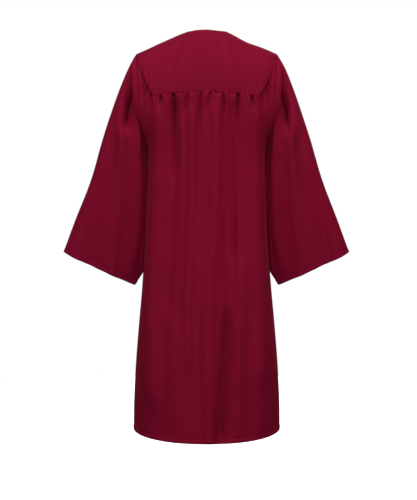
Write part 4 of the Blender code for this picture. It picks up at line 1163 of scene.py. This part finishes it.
def makeStops():
    cage = bmesh.new()
    for values, signs in ((zipSizes["topStop"], (-1, 1)), (zipSizes["bottomStop"], (1,))):
        for sign in signs:
            grown = bmesh.ops.create_cube(cage, size=1.0)["verts"]
            bmesh.ops.scale(cage, verts=grown, vec=values["size"])
            bmesh.ops.translate(cage, verts=grown, vec=chainPoint(sign * values["x"], np.array(values["z"])))
    bmesh.ops.bevel(cage, geom=cage.edges[:], offset=zipSizes["stopBevel"], segments=2,
                    affect="EDGES", profile=0.6)
    bmesh.ops.recalc_face_normals(cage, faces=cage.faces)
    mesh = bpy.data.meshes.new("zipStops")
    cage.to_mesh(mesh)
    cage.free()
    return placedPiece("zipStops", mesh, zipMetal)


stops = makeStops()
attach(stops, "gown")
print("zip stops made")


# Carried-over metal and tape

def reface(node, material):
    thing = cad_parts[node]
    for slot in thing.material_slots:
        slot.material = material


for node in ("zip_tape_left", "zip_tape_right"):
    reface(node, tapeCloth)
for node in ("zip_slider", "zip_pull"):
    reface(node, zipMetal)


# Studio: pale floor, white surround and soft light

studio = {
    "floorZ": -1.54,
    "floorRadius": 2.2,
    "floorCorners": 96,
    "floorGlow": 0.9,
    "floorColour": (0.93, 0.93, 0.93, 1.0),
    "surround": 0.07,
    "left": {"place": (-2.7, -2.5, 0.9), "aim": (0.0, 0.0, -0.55), "size": (1.2, 2.0), "power": 40.0},
    "right": {"place": (2.7, -2.5, 0.9), "aim": (0.0, 0.0, -0.55), "size": (1.2, 2.0), "power": 40.0},
    "front": {"place": (0.0, -3.4, 1.3), "aim": (0.0, 0.0, -0.60), "size": (1.0, 1.0), "power": 67.0},
    "above": {"place": (0.0, -0.4, 2.4), "aim": (0.0, 0.0, -0.3), "size": (1.4, 0.8), "power": 30.0},
    "behind": {"place": (0.5, 3.4, 1.0), "aim": (0.0, 0.0, -0.6), "size": (2.4, 1.6), "power": 100.0},
}
shot = {"place": (0.0057, -2.9, -0.457), "tilt": 4.33, "lens": 66.5}


def makeStudio():
    scene = bpy.context.scene
    scene.view_settings.view_transform = "Standard"
    world = bpy.data.worlds.new("surround")
    scene.world = world
    world.use_nodes = True
    tree = world.node_tree
    back = tree.nodes["Background"]
    back.inputs["Color"].default_value = (1.0, 1.0, 1.0, 1.0)
    path = tree.nodes.new("ShaderNodeLightPath")
    level = tree.nodes.new("ShaderNodeMapRange")
    level.inputs["To Min"].default_value = studio["surround"]
    level.inputs["To Max"].default_value = 1.0
    tree.links.new(path.outputs["Is Camera Ray"], level.inputs["Value"])
    tree.links.new(level.outputs["Result"], back.inputs["Strength"])
    for name in ("left", "right", "front", "above", "behind"):
        values = studio[name]
        lamp = bpy.data.lights.new(name + "Light", "AREA")
        lamp.shape = "RECTANGLE"
        lamp.size, lamp.size_y = values["size"]
        lamp.energy = values["power"]
        light = bpy.data.objects.new(name + "Light", lamp)
        light.location = values["place"]
        aim = Vector(values["aim"]) - Vector(values["place"])
        light.rotation_euler = aim.to_track_quat("-Z", "Y").to_euler()
        scene.collection.objects.link(light)
    floorMesh = bpy.data.meshes.new("studioFloor")
    corners, radius = studio["floorCorners"], studio["floorRadius"]
    turns = [2 * math.pi * k / corners for k in range(corners)]
    rim = [(radius * math.cos(t), radius * math.sin(t), studio["floorZ"]) for t in turns]
    floorMesh.from_pydata(rim, [], [tuple(range(corners))])
    floor = bpy.data.objects.new("studioFloor", floorMesh)
    scene.collection.objects.link(floor)
    paint, _, _, shader = newMaterial("studioPaint")
    shader.inputs["Base Color"].default_value = studio["floorColour"]
    shader.inputs["Roughness"].default_value = 0.9
    shader.inputs["Specular IOR Level"].default_value = 0.0
    shader.inputs["Emission Color"].default_value = (1.0, 1.0, 1.0, 1.0)
    shader.inputs["Emission Strength"].default_value = studio["floorGlow"]
    floorMesh.materials.append(paint)
    floor.visible_diffuse = False  # it shows white, and throws no light up at the cloth
    floor.visible_glossy = False


def makeCamera():
    lens = bpy.data.cameras.new("photoCamera")
    lens.lens = shot["lens"]
    lens.sensor_width = 36.0
    lens.clip_start = 0.05
    camera = bpy.data.objects.new("photoCamera", lens)
    camera.location = shot["place"]
    camera.rotation_euler = (math.radians(90.0 - shot["tilt"]), 0.0, 0.0)
    bpy.context.scene.collection.objects.link(camera)
    bpy.context.scene.camera = camera


makeStudio()
makeCamera()
print("studio and camera placed")
